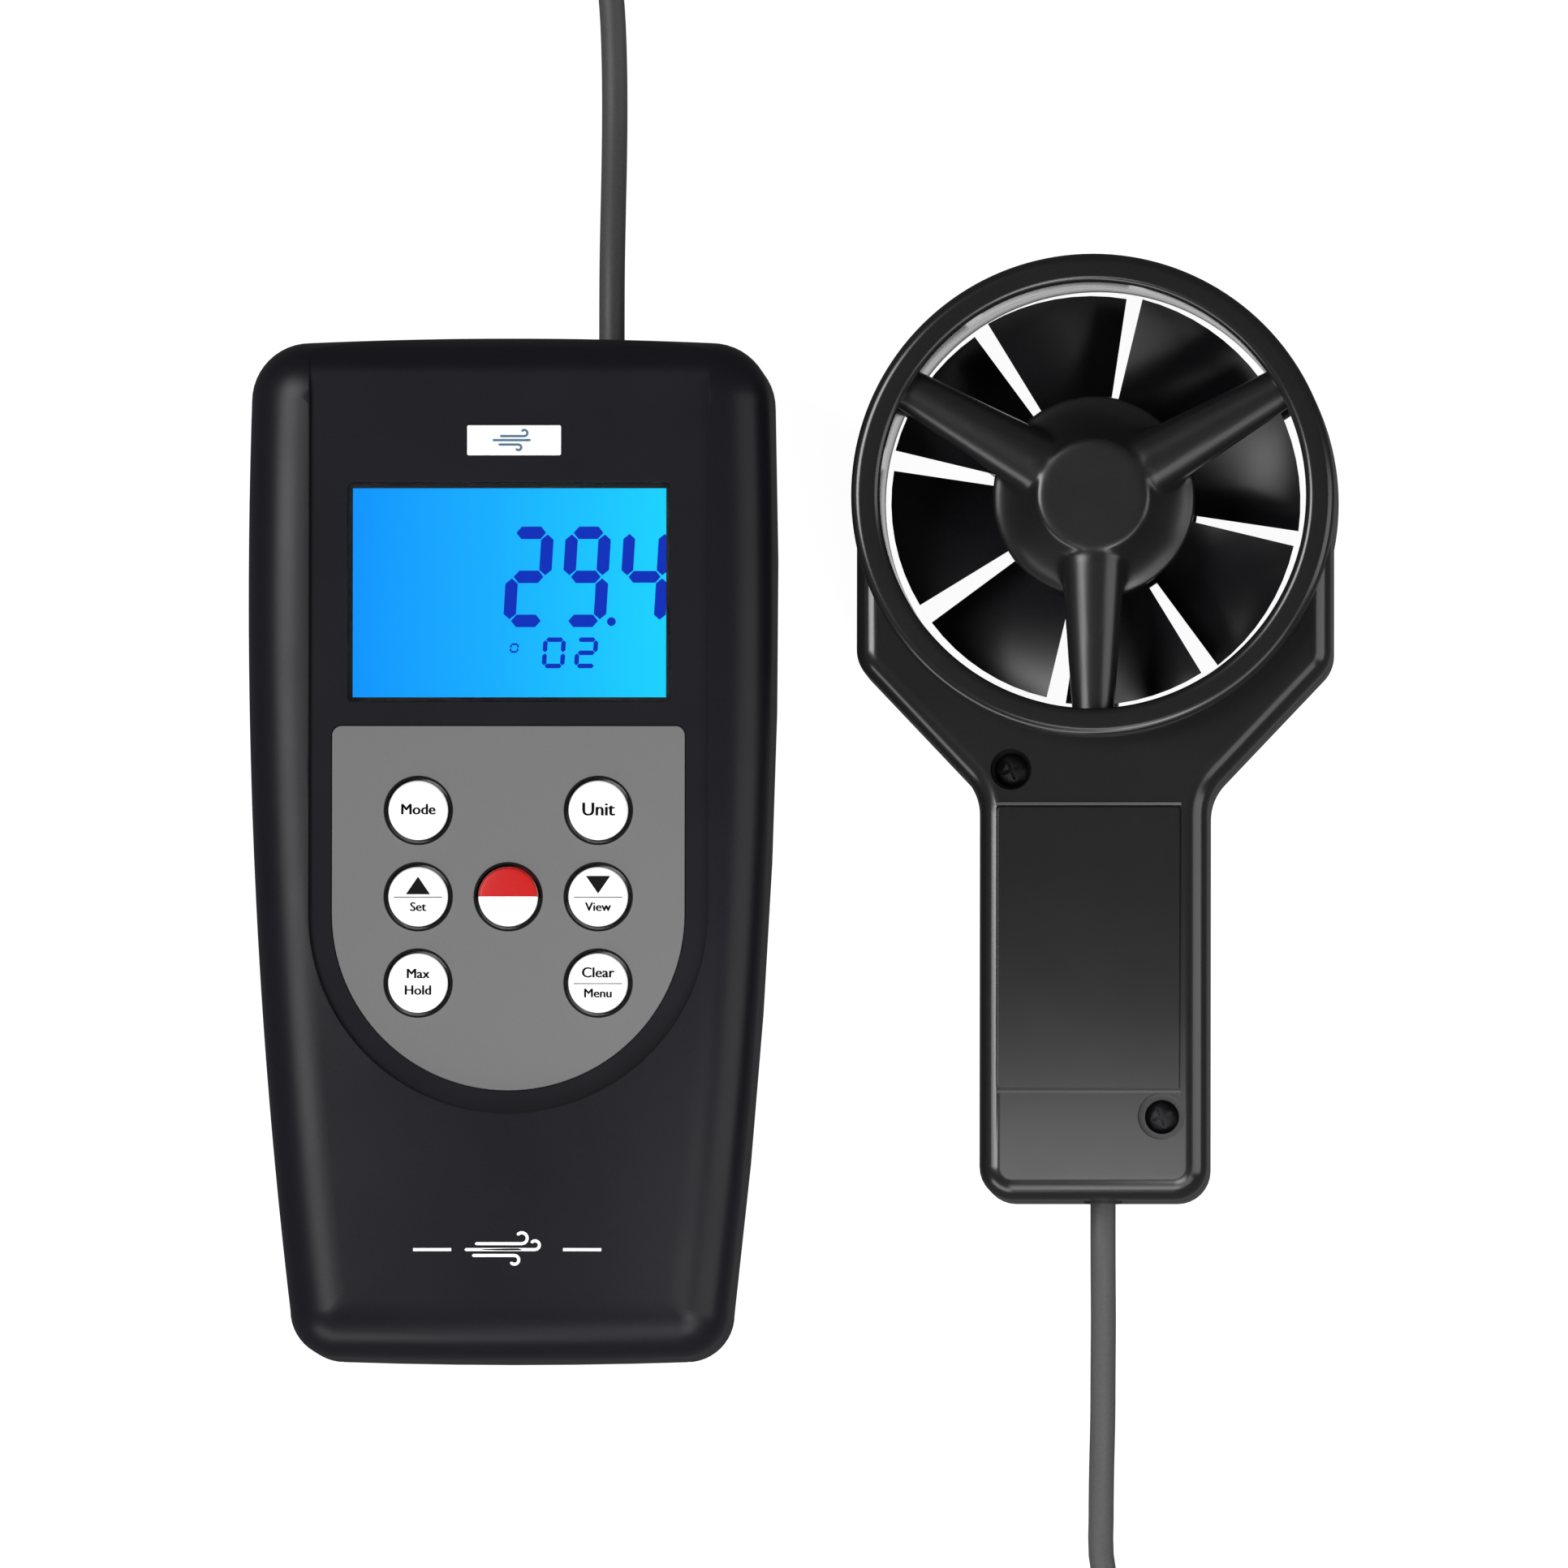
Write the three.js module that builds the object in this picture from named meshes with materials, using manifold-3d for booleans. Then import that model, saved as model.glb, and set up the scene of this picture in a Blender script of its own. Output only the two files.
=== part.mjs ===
// Hand-held vane anemometer: a meter with a display and seven keys, a vane probe, and the cord between them.
// Millimetres. X to the right, Y towards the meter's top end, Z up. Both units lie on their backs on z = 0.
import * as THREE from "three";
import { mergeVertices } from "three/addons/utils/BufferGeometryUtils.js";
import Module from "manifold-3d";

const wasm = await Module();
wasm.setup();

// ---- Driving dimensions: meter ----
const METER_X = -38.3; // the meter's centre line
const CASE_TOP = 64.0; // its top end
const CASE_BOTTOM = -75.3;
const CASE_HALF_TOP = 35.35; // half width where the top corners start
const CASE_HALF_BOTTOM = 29.9; // half width where the bottom corners start
const CASE_DEPTH = 32;
const CASE_WALL = 2.2;
const SPLIT_Z = 15.5; // parting line of the two case halves
const DECK_Z = 30.0; // the recessed deck that carries display and keypad
const DECK_HALF = 27.2;
const KEYPAD_ARC_Y = -14.7; // centre of the keypad's round end
const KEYPAD_HALF = 24.0;
const KEYPAD_TOP = 10.9;
const WINDOW = { x: 0, y: 29.15, width: 43.9, height: 29.7 };
const BADGE = { x: 0.7, y: 49.8, width: 12.8, height: 4.1 };
const KEY_COLUMN = 12.25; // the outer key columns, each side of the middle
const KEY_ROWS = [-0.6, -12.35, -24.1];
const KEY_RADIUS = 4.05;
const KEY_HOLE = 4.45;
const KEY_TOP = DECK_Z + 0.9;

// ---- Driving dimensions: batteries and their bay ----
const CELL_RADIUS = 5.25; // AAA
const CELL_LENGTH = 44.5;
const CELL_PITCH = 10.9;
const CELL_Z = 8.1;
const BAY = { half: 22.7, bottom: -64.2, top: -11.4, ceiling: 13.8, wall: 1.7 };
const DOOR = { half: 21.5, tongueHalf: 23.5, top: -14.0, lip: 1.2, thickness: 2.2 };

// ---- Driving dimensions: screws, glands, cord ----
const CASE_SCREWS = [[-28.5, 50], [28.5, 50], [-26.8, -60], [26.8, -60]];
const CORD_RADIUS = 1.75;
const METER_CORD = { x: 13.2, z: 9.0 };
const PROBE_CORD = { x: 1.1, z: 13.0 };
const GAP = 0.3; // between pieces that touch
const ROUND = 48; // sides of the large round surfaces
const KEY_SIDES = 16;

// ---- Driving dimensions: probe ----
const PROBE_X = 41.1; // the vane's axis
const PROBE_Y = 42.4;
const RING_RADIUS = 32.9;
const RING_FRONT = 29.2;
const BORE_RADIUS = 29.0;
const BORE_MOUTH = 30.1;
const PROBE_SPLIT = 14.6;
const HANDLE_FRONT = 24.6;
const SHOULDER_HALF = 32.3;
const HANDLE_HALF = 15.5;
const HANDLE_END = -95.7; // from the vane's axis
const PROBE_WALL = 1.9;
const GUARD_ANGLES = [30, 150, 270];
const HUB_RADIUS = 13.9;
const HUB_FACE = 7.9;
const PROBE_SCREWS = [[-11.2, -37.2], [9.3, -84.4]];
const LABEL = { x: -0.6, half: 12.4, top: -42.3, bottom: -80.6 };

// ---- Driving dimensions: vane ----
const BLADES = 8;
const VANE_HUB = 13.1;
const VANE_TIP = 27.9;
const VANE_BOTTOM = 9.6;
const VANE_DEPTH = 10.0;
const BLADE_SWEEP = 39; // degrees that one blade covers
const BLADE_START = 37; // degrees, the middle of the first gap between blades
const SHAFT_RADIUS = 0.5;

// ---- Driving dimensions: coil ----
const COIL = { x: -10, y: 143.5, inner: 14.7, outer: 25.3, bottom: 0.1, top: 7.1 };

// ---- Materials ----
const paint = (color, roughness, metalness = 0) =>
  new THREE.MeshStandardMaterial({ color, roughness, metalness });
const CASE = paint(0x1b1b1e, 0.5);
const PROBE = paint(0x1a1a1b, 0.25);
const VANE = paint(0x141416, 0.3);
const CLEAR = paint(0xa8d4ee, 0.05);
const DISPLAY = paint(0x0a9cff, 0.3);
const FOIL = paint(0x808080, 0.55);
const KEYCAP = paint(0xf7f7f7, 0.4);
const RED = paint(0xcb2825, 0.4);
const RUBBER = paint(0x5c5c5c, 0.7);
const FOAM = paint(0x0c0c0c, 0.9);
const BOARD = paint(0x1c5a38, 0.5);
const STEEL = paint(0xa8a8ac, 0.3, 1);
const CELL = paint(0x3a6ea0, 0.35, 0.5);
const PLATE = paint(0xececec, 0.4);

// ---- Solids ----
// A closed geometry with its shared vertices merged, as a manifold solid.
function solid(geometry) {
  const bare = geometry.index ? geometry.toNonIndexed() : geometry.clone();
  bare.deleteAttribute("normal");
  bare.deleteAttribute("uv");
  const merged = mergeVertices(bare, 1e-4);
  const index = merged.index.array;
  const triangles = [];
  for (let i = 0; i < index.length; i += 3) {
    const [a, b, c] = [index[i], index[i + 1], index[i + 2]];
    if (a !== b && b !== c && c !== a) triangles.push(a, b, c);
  }
  return new wasm.Manifold(new wasm.Mesh({
    numProp: 3,
    vertProperties: new Float32Array(merged.attributes.position.array),
    triVerts: new Uint32Array(triangles),
  }));
}

// A named mesh from a manifold solid.
function node(name, shape, material) {
  const mesh = shape.getMesh();
  const geometry = new THREE.BufferGeometry();
  geometry.setAttribute("position", new THREE.BufferAttribute(mesh.vertProperties.slice(), 3));
  geometry.setIndex(new THREE.BufferAttribute(mesh.triVerts.slice(), 1));
  geometry.computeVertexNormals();
  const piece = new THREE.Mesh(geometry, material);
  piece.name = name;
  return piece;
}

const join = (parts) => parts.reduce((whole, part) => whole.add(part));
const cut = (body, tools) => tools.reduce((left, tool) => left.subtract(tool), body);

function block(x0, x1, y0, y1, z0, z1) {
  const geometry = new THREE.BoxGeometry(x1 - x0, y1 - y0, z1 - z0);
  geometry.translate((x0 + x1) / 2, (y0 + y1) / 2, (z0 + z1) / 2);
  return solid(geometry);
}

function cone(bottomRadius, topRadius, z0, z1, x = 0, y = 0, sides = 24) {
  const geometry = new THREE.CylinderGeometry(topRadius, bottomRadius, z1 - z0, sides);
  geometry.rotateX(Math.PI / 2);
  geometry.translate(x, y, (z0 + z1) / 2);
  return solid(geometry);
}

const disc = (radius, z0, z1, x = 0, y = 0, sides = 24) => cone(radius, radius, z0, z1, x, y, sides);

function rodAlongY(radius, y0, y1, x, z, sides = 16) {
  const geometry = new THREE.CylinderGeometry(radius, radius, y1 - y0, sides);
  geometry.translate(x, (y0 + y1) / 2, z);
  return solid(geometry);
}

function extrude(shape, z0, z1, curveSegments = 6) {
  const geometry = new THREE.ExtrudeGeometry(shape, {
    depth: z1 - z0,
    bevelEnabled: false,
    curveSegments,
  });
  geometry.translate(0, 0, z0);
  return solid(geometry);
}

// The same with rounded edges at both ends, inside the outline.
function extrudeRounded(shape, z0, z1, rounding, curveSegments = 6) {
  const geometry = new THREE.ExtrudeGeometry(shape, {
    depth: z1 - z0 - 2 * rounding,
    bevelThickness: rounding,
    bevelSize: rounding,
    bevelOffset: -rounding,
    bevelSegments: 3,
    curveSegments,
  });
  geometry.translate(0, 0, z0 + rounding);
  return solid(geometry);
}

// A polygon whose corners, each [x, y, radius], are rounded.
function roundedShape(corners) {
  const shape = new THREE.Shape();
  corners.forEach(([x, y, radius], i) => {
    const [px, py] = corners.at(i - 1);
    const [nx, ny] = corners[(i + 1) % corners.length];
    const here = new THREE.Vector2(x, y);
    const back = new THREE.Vector2(px, py).sub(here).normalize();
    const ahead = new THREE.Vector2(nx, ny).sub(here).normalize();
    const reach = radius / Math.tan(Math.acos(back.dot(ahead)) / 2);
    const from = here.clone().addScaledVector(back, reach);
    const to = here.clone().addScaledVector(ahead, reach);
    if (i === 0) shape.moveTo(from.x, from.y);
    else shape.lineTo(from.x, from.y);
    if (radius > 0) shape.quadraticCurveTo(x, y, to.x, to.y);
  });
  shape.closePath();
  return shape;
}

const rectangle = (half, y0, y1, radius = 0) =>
  roundedShape([[half, y0, radius], [half, y1, radius], [-half, y1, radius], [-half, y0, radius]]);

// A slab with straight sides and one round end, centred on the keypad's arc.
function shield(half, top, radius) {
  const shape = new THREE.Shape();
  shape.moveTo(-half, KEYPAD_ARC_Y);
  shape.absarc(0, KEYPAD_ARC_Y, half, Math.PI, 2 * Math.PI);
  shape.lineTo(half, top - radius);
  shape.quadraticCurveTo(half, top, half - radius, top);
  shape.lineTo(radius - half, top);
  shape.quadraticCurveTo(-half, top, -half, top - radius);
  shape.closePath();
  return shape;
}

function circleHole(x, y, radius) {
  const hole = new THREE.Path();
  hole.absarc(x, y, radius, 0, 2 * Math.PI, true);
  return hole;
}

// ---- Meter ----
// The case in plan: bowed ends, round corners and sides that taper towards the bottom.
function caseOutline(inset) {
  const topRadius = 8 - inset;
  const bottomRadius = 6.5 - inset;
  const topX = CASE_HALF_TOP - 8;
  const topY = CASE_TOP - 8.6;
  const bottomX = CASE_HALF_BOTTOM - 6.5;
  const bottomY = CASE_BOTTOM + 6.9;
  const sideX = 37.3 - inset;
  const sideY = -6.9;
  const shape = new THREE.Shape();
  shape.moveTo(-bottomX, bottomY - bottomRadius);
  shape.quadraticCurveTo(0, CASE_BOTTOM - 0.4 + inset, bottomX, bottomY - bottomRadius);
  shape.absarc(bottomX, bottomY, bottomRadius, -Math.PI / 2, 0);
  shape.quadraticCurveTo(sideX, sideY, topX + topRadius, topY);
  shape.absarc(topX, topY, topRadius, 0, Math.PI / 2);
  shape.quadraticCurveTo(0, CASE_TOP + 0.6 - inset, -topX, topY + topRadius);
  shape.absarc(-topX, topY, topRadius, Math.PI / 2, Math.PI);
  shape.quadraticCurveTo(-sideX, sideY, -bottomX - bottomRadius, bottomY);
  shape.absarc(-bottomX, bottomY, bottomRadius, Math.PI, 1.5 * Math.PI);
  return shape;
}

const KEYS = [
  ["key_function", -KEY_COLUMN, KEY_ROWS[0]],
  ["key_unit", KEY_COLUMN, KEY_ROWS[0]],
  ["key_up", -KEY_COLUMN, KEY_ROWS[1]],
  ["key_power", 0, KEY_ROWS[1]],
  ["key_down", KEY_COLUMN, KEY_ROWS[1]],
  ["key_hold", -KEY_COLUMN, KEY_ROWS[2]],
  ["key_menu", KEY_COLUMN, KEY_ROWS[2]],
];

function windowShape(grow) {
  const halfHeight = WINDOW.height / 2 + grow;
  return rectangle(WINDOW.width / 2 + grow, WINDOW.y - halfHeight, WINDOW.y + halfHeight);
}

// The round hole in the top wall for the cord's bush.
const meterGlandHole = () => rodAlongY(2.9, CASE_TOP - 6, CASE_TOP + 4, METER_CORD.x, METER_CORD.z);

function frontShell() {
  const slab = block(-40, 40, -80, 70, SPLIT_Z + GAP / 2, CASE_DEPTH + 1);
  const outer = extrudeRounded(caseOutline(0), 0, CASE_DEPTH, 4.5).intersect(slab);
  const hollow = extrude(caseOutline(CASE_WALL), 0, DECK_Z - CASE_WALL);
  const posts = CASE_SCREWS.map(([x, y]) => disc(2.7, SPLIT_Z + GAP / 2, DECK_Z - 1, x, y, 12));
  const pilots = CASE_SCREWS.map(([x, y]) => disc(1.45, 0, 24, x, y, 12));
  const deck = extrude(shield(DECK_HALF, 80, 0), DECK_Z, 40, 12);
  const keypadSeat = extrude(shield(KEYPAD_HALF + GAP, KEYPAD_TOP + GAP, 1.6), DECK_Z - 0.5, 40, 12);
  const badgeSeat = block(
    BADGE.x - BADGE.width / 2 - GAP, BADGE.x + BADGE.width / 2 + GAP,
    BADGE.y - BADGE.height / 2 - GAP, BADGE.y + BADGE.height / 2 + GAP, DECK_Z - 0.5, 40,
  );
  const opening = extrude(windowShape(GAP), 20, 40);
  const keyHoles = KEYS.map(([, x, y]) => disc(KEY_HOLE, 20, 40, x, y, KEY_SIDES));
  const shell = join([outer.subtract(hollow), ...posts]);
  return cut(shell, [...pilots, deck, keypadSeat, badgeSeat, opening, meterGlandHole(), ...keyHoles]);
}

function rearShell() {
  const slab = block(-40, 40, -80, 70, -1, SPLIT_Z - GAP / 2);
  const outer = extrudeRounded(caseOutline(0), 0, CASE_DEPTH, 1.6).intersect(slab);
  const hollow = extrude(caseOutline(CASE_WALL), 2.5, CASE_DEPTH);
  const bayOuter = block(
    -BAY.half - BAY.wall, BAY.half + BAY.wall,
    BAY.bottom - BAY.wall, BAY.top + BAY.wall, 0.5, BAY.ceiling + 1.3,
  );
  const posts = CASE_SCREWS.map(([x, y]) => disc(2.7, 1, SPLIT_Z - GAP / 2, x, y, 12));
  const boardPosts = [[-20, 50], [20, 50], [-20, 6], [20, 6]].map(([x, y]) => disc(1.8, 1, 16.7, x, y, 8));
  const bay = block(-BAY.half, BAY.half, BAY.bottom, BAY.top, DOOR.thickness + GAP, BAY.ceiling);
  const doorway = block(-DOOR.half - GAP, DOOR.half + GAP, -80, DOOR.top + GAP, -1, DOOR.thickness + GAP);
  const grooves = block(
    -DOOR.tongueHalf - GAP, DOOR.tongueHalf + GAP, -80, DOOR.top + GAP, DOOR.lip - GAP, DOOR.thickness + GAP,
  );
  const screwHoles = CASE_SCREWS.flatMap(([x, y]) => [
    disc(1.6, -1, 20, x, y, 12),
    disc(2.3, -1, 3, x, y, 12),
  ]);
  const shell = join([outer.subtract(hollow), bayOuter, ...posts, ...boardPosts]);
  return cut(shell, [bay, doorway, grooves, meterGlandHole(), ...screwHoles]);
}

// The sliding door: a plate flush with the back, with a tongue along each side.
function batteryCover() {
  const outline = extrudeRounded(caseOutline(0), 0, CASE_DEPTH, 1.6);
  const plate = block(-DOOR.half, DOOR.half, -80, DOOR.top, -1, DOOR.lip);
  const tongues = block(-DOOR.tongueHalf, DOOR.tongueHalf, -80, DOOR.top, DOOR.lip, DOOR.thickness);
  return outline.intersect(plate.add(tongues));
}

function displayParts() {
  const { y, width, height } = WINDOW;
  const glass = [width / 2 + 1.6, y - height / 2 - 1.6, y + height / 2 + 1.6];
  const slab = (grow, z0, z1) => block(
    -glass[0] - grow, glass[0] + grow, glass[1] - grow, glass[2] + grow, z0, z1,
  );
  const gasketHole = extrude(windowShape(-0.6), 20, 40);
  return [
    node("display_window", extrude(windowShape(0), DECK_Z - 2.2, DECK_Z - 0.6), CLEAR),
    node("window_gasket", slab(0, 26.4, 27.4).subtract(gasketHole), FOAM),
    node("lcd_panel", slab(0, 23.7, 26.1), DISPLAY),
    node("backlight_panel", block(-glass[0], glass[0], glass[1] + 3.4, glass[2], 20.2, 23.4), PLATE),
    node("zebra_strip", block(-glass[0] + 2, glass[0] - 2, glass[1] + 0.6, glass[1] + 2.8, 18.9, 23.4), FOAM),
    node("lcd_frame", slab(1.8, 19.0, 25.5).subtract(slab(GAP, 18, 28)), CASE),
  ];
}

function keypadParts() {
  const foil = shield(KEYPAD_HALF, KEYPAD_TOP, 1.4);
  foil.holes = KEYS.map(([, x, y]) => circleHole(x, y, KEY_HOLE));
  const caps = KEYS.map(([name, x, y]) => {
    const cap = disc(KEY_RADIUS, 23.2, KEY_TOP, x, y, KEY_SIDES);
    const skirt = disc(KEY_RADIUS + 1, 26.0, 27.2, x, y, KEY_SIDES);
    return node(name, cap.add(skirt), name === "key_power" ? RED : KEYCAP);
  });
  const domes = KEYS.map(([, x, y]) => disc(2.6, 19.5, 22.4, x, y, 12));
  const mat = join([block(-17, 17, -29.5, 4.8, 19.0, 20.2), ...domes]);
  return [node("keypad_overlay", extrude(foil, DECK_Z - 0.2, DECK_Z + 0.2, 12), FOIL), ...caps,
    node("key_mat", mat, RUBBER)];
}

function mainBoard() {
  const plate = block(-24, 24, -55, 58, 17.0, 18.6);
  const chip = block(-6, 6, -47, -35, 18.5, 20.3);
  const socket = block(8, 18, 50, 56, 18.5, 22.5);
  const crystal = block(-18, -13, -44, -34, 18.5, 21.5);
  return join([plate, chip, socket, crystal]);
}

function batteries() {
  const middle = (BAY.bottom + BAY.top) / 2;
  return [-1.5, -0.5, 0.5, 1.5].map((place, i) => {
    const x = place * CELL_PITCH;
    const pip = i % 2 ? 1 : -1;
    const can = rodAlongY(CELL_RADIUS, middle - 22.1, middle + 22.1, x, CELL_Z, 20);
    const tip = pip > 0
      ? rodAlongY(1.9, middle + 22, middle - 22.1 + CELL_LENGTH, x, CELL_Z, 12)
      : rodAlongY(1.9, middle + 22.1 - CELL_LENGTH, middle - 22, x, CELL_Z, 12);
    return node(`battery_${i + 1}`, can.add(tip), CELL);
  });
}

// One sheet of spring contacts at each end of the bay.
function contactPlate(wallY, inward) {
  const near = wallY + inward * GAP;
  const far = near + inward * 0.5;
  const sheet = block(-21.5, 21.5, Math.min(near, far), Math.max(near, far), 4, 12);
  const springs = [-1.5, -0.5, 0.5, 1.5].map((place) => {
    const tip = far + inward * 1.6;
    return rodAlongY(2.4, Math.min(near, tip), Math.max(near, tip), place * CELL_PITCH, CELL_Z, 10);
  });
  return join([sheet, ...springs]);
}

// A pan-head screw pointing up from the back.
const caseScrew = ([x, y]) => join([disc(2.0, 0.9, 2.7, x, y, 12), disc(1.15, 2.6, 23, x, y, 10)]);

// A bush in a wall, with the flange inside; its outer face ends proud of the wall.
function gland(outerY, innerY, x, z) {
  const low = Math.min(outerY, innerY);
  const high = Math.max(outerY, innerY);
  return rodAlongY(2.6, low, high, x, z);
}

function meter() {
  const group = new THREE.Group();
  group.position.x = METER_X;
  const badge = block(
    BADGE.x - BADGE.width / 2, BADGE.x + BADGE.width / 2,
    BADGE.y - BADGE.height / 2, BADGE.y + BADGE.height / 2, DECK_Z - 0.2, DECK_Z + 0.2,
  );
  group.add(
    node("front_shell", frontShell(), CASE),
    node("rear_shell", rearShell(), CASE),
    node("battery_cover", batteryCover(), CASE),
    ...displayParts(),
    ...keypadParts(),
    node("main_board", mainBoard(), BOARD),
    ...batteries(),
    node("battery_contacts_lower", contactPlate(BAY.bottom, 1), STEEL),
    node("battery_contacts_upper", contactPlate(BAY.top, -1), STEEL),
    ...CASE_SCREWS.map((place, i) => node(`case_screw_${i + 1}`, caseScrew(place), STEEL)),
    node("main_gland", gland(CASE_TOP + 0.3, CASE_TOP - 4, METER_CORD.x, METER_CORD.z), RUBBER),
    node("badge", badge, PLATE),
  );
  return group;
}

// ---- Probe, placed about the vane's axis ----
// Shoulders and handle in plan.
function handleOutline(inset, top) {
  const side = [
    [HANDLE_HALF - inset, HANDLE_END + inset, 4.5],
    [HANDLE_HALF - inset, -40.5, 7],
    [SHOULDER_HALF - inset, -22.8 + 0.4 * inset, 5],
    [SHOULDER_HALF - inset, top, 0],
  ];
  const mirrored = side.toReversed().map(([x, y, radius]) => [-x, y, radius]);
  return roundedShape([...side, ...mirrored]);
}

// A round guard arm from the hub to the ring, thinner at the ring.
function guardArm(angle, z) {
  const start = 6.5;
  const end = BORE_RADIUS + 1.6;
  const bar = new THREE.CylinderGeometry(2.5, 3.3, end - start, 12);
  bar.rotateZ(-Math.PI / 2);
  bar.translate((start + end) / 2, 0, z);
  bar.rotateZ(THREE.MathUtils.degToRad(angle));
  return solid(bar);
}

// One half of the housing: ring, hollow shoulders and handle, three arms and a hub with a bearing seat.
function probeHalf(z0, z1, handleZ0, handleZ1, hub, armZ, seat) {
  const ring = disc(RING_RADIUS, z0, z1, 0, 0, ROUND);
  const handle = extrude(handleOutline(0, 0), handleZ0, handleZ1);
  const ringWall = disc(BORE_RADIUS + 2.0, z0 - 1, z1 + 1, 0, 0, ROUND);
  const cavity = extrude(handleOutline(PROBE_WALL, -16), 2.0, HANDLE_FRONT - 2.0).subtract(ringWall);
  const bore = disc(BORE_RADIUS, -1, 40, 0, 0, ROUND);
  const arms = GUARD_ANGLES.map((angle) => guardArm(angle, armZ));
  const posts = PROBE_SCREWS.map(([x, y]) => disc(3.4, handleZ0 + 0.5, handleZ1 - 0.5, x, y, 12));
  const inRange = block(-40, 40, -100, 40, z0, z1);
  const postsHere = join(posts).intersect(inRange);
  return join([cut(ring.add(handle), [bore, cavity]), postsHere, ...arms, hub]).subtract(seat);
}

const probeGlandHole = () => rodAlongY(2.9, HANDLE_END - 2, HANDLE_END + 4, PROBE_CORD.x, PROBE_CORD.z);

function probeFront() {
  const low = PROBE_SPLIT + GAP / 2;
  const hub = cone(HUB_RADIUS, HUB_FACE, 21.0, 28.2, 0, 0, 32);
  const seat = disc(2.5, 20, 25.8, 0, 0, 16);
  const half = probeHalf(low, RING_FRONT, low, HANDLE_FRONT, hub, 25.0, seat);
  const mouth = cone(BORE_RADIUS, BORE_MOUTH, 26.4, RING_FRONT + 0.001, 0, 0, ROUND);
  const centre = disc(BORE_RADIUS - 0.2, 20, 40, 0, 0, ROUND);
  const labelSeat = extrude(
    rectangle(LABEL.half + GAP, LABEL.bottom - GAP, LABEL.top + GAP), HANDLE_FRONT - 0.9, 40,
  ).translate([LABEL.x, 0, 0]);
  const screwHoles = PROBE_SCREWS.flatMap(([x, y]) => [
    disc(1.5, 0, 40, x, y, 12),
    disc(2.75, HANDLE_FRONT - 4, 40, x, y, 20),
  ]);
  return cut(half, [mouth.subtract(centre), labelSeat, probeGlandHole(), ...screwHoles]);
}

function probeRear() {
  const high = PROBE_SPLIT - GAP / 2;
  const hub = cone(HUB_FACE, HUB_RADIUS, 1.0, 8.2, 0, 0, 32);
  const seat = disc(2.5, 3.4, 10, 0, 0, 16);
  const half = probeHalf(0, high, 0, high, hub, 4.2, seat);
  const boardPosts = [[-7, -52], [7, -52], [-7, -74], [7, -74]].map(([x, y]) => disc(1.5, 1, 8.2, x, y, 8));
  const screwHoles = PROBE_SCREWS.map(([x, y]) => disc(1.45, 4, 40, x, y, 12));
  return cut(join([half, ...boardPosts]), [probeGlandHole(), ...screwHoles]);
}

// One blade: a thin plate from hub to tip, swept round the axis as it rises.
function blade(index) {
  const plate = new THREE.BoxGeometry(VANE_TIP - VANE_HUB + 0.6, 1, 1, 2, 1, 5);
  plate.translate((VANE_TIP + VANE_HUB - 0.6) / 2, 0, 0);
  const points = plate.attributes.position;
  const middle = THREE.MathUtils.degToRad(BLADE_START + (index + 0.5) * (360 / BLADES));
  const sweep = THREE.MathUtils.degToRad(BLADE_SWEEP);
  for (let i = 0; i < points.count; i += 1) {
    const radius = points.getX(i);
    const angle = middle + points.getZ(i) * sweep;
    const side = points.getY(i) * 1.1;
    points.setXYZ(
      i,
      radius * Math.cos(angle) - side * Math.sin(angle),
      radius * Math.sin(angle) + side * Math.cos(angle),
      VANE_BOTTOM + VANE_DEPTH * (points.getZ(i) + 0.5),
    );
  }
  return solid(plate);
}

function vaneWheel() {
  const hub = disc(VANE_HUB, VANE_BOTTOM - 0.2, VANE_BOTTOM + VANE_DEPTH + 0.2, 0, 0, 36);
  const blades = Array.from({ length: BLADES }, (_, i) => blade(i));
  return join([hub, ...blades]).subtract(disc(SHAFT_RADIUS + GAP, 0, 40, 0, 0, 12));
}

// A jewel bearing: a small cup whose mouth takes the shaft's end.
function bearing(z0, z1, mouthUp) {
  const body = disc(2.2, z0, z1, 0, 0, 16);
  const hole = mouthUp ? disc(0.58, z0 + 0.8, z1 + 1, 0, 0, 16) : disc(0.58, z0 - 1, z1 - 0.8, 0, 0, 16);
  return body.subtract(hole);
}

// A pan-head screw pointing down from the front.
const probeScrew = ([x, y]) => join([
  disc(2.2, HANDLE_FRONT - 3.7, HANDLE_FRONT - 2.0, x, y, 16),
  disc(1.15, 5, HANDLE_FRONT - 3.6, x, y, 10),
]);

function probe() {
  const group = new THREE.Group();
  group.position.set(PROBE_X, PROBE_Y, 0);
  const label = extrude(
    rectangle(LABEL.half, LABEL.bottom, LABEL.top), HANDLE_FRONT - 0.6, HANDLE_FRONT - 0.1,
  ).translate([LABEL.x, 0, 0]);
  const board = join([block(-10, 10, -78, -48, 8.5, 9.9), block(-4, 4, -68, -60, 9.8, 11.4)]);
  group.add(
    node("probe_front_housing", probeFront(), PROBE),
    node("probe_rear_housing", probeRear(), PROBE),
    node("probe_label", label, PROBE),
    node("vane_wheel", vaneWheel(), VANE),
    node("vane_shaft", disc(SHAFT_RADIUS, 4.8, 24.4, 0, 0, 16), STEEL),
    node("front_bearing", bearing(22.2, 25.4, false), STEEL),
    node("rear_bearing", bearing(3.8, 7.0, true), STEEL),
    node("pickup_sensor", block(-2.6, 2.6, -36.6, -31.6, 10, 18), FOAM),
    node("probe_board", board, BOARD),
    ...PROBE_SCREWS.map((place, i) => node(`probe_screw_${i + 1}`, probeScrew(place), STEEL)),
    node("probe_gland", gland(HANDLE_END - 0.3, HANDLE_END + 4, PROBE_CORD.x, PROBE_CORD.z), RUBBER),
  );
  return group;
}

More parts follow.
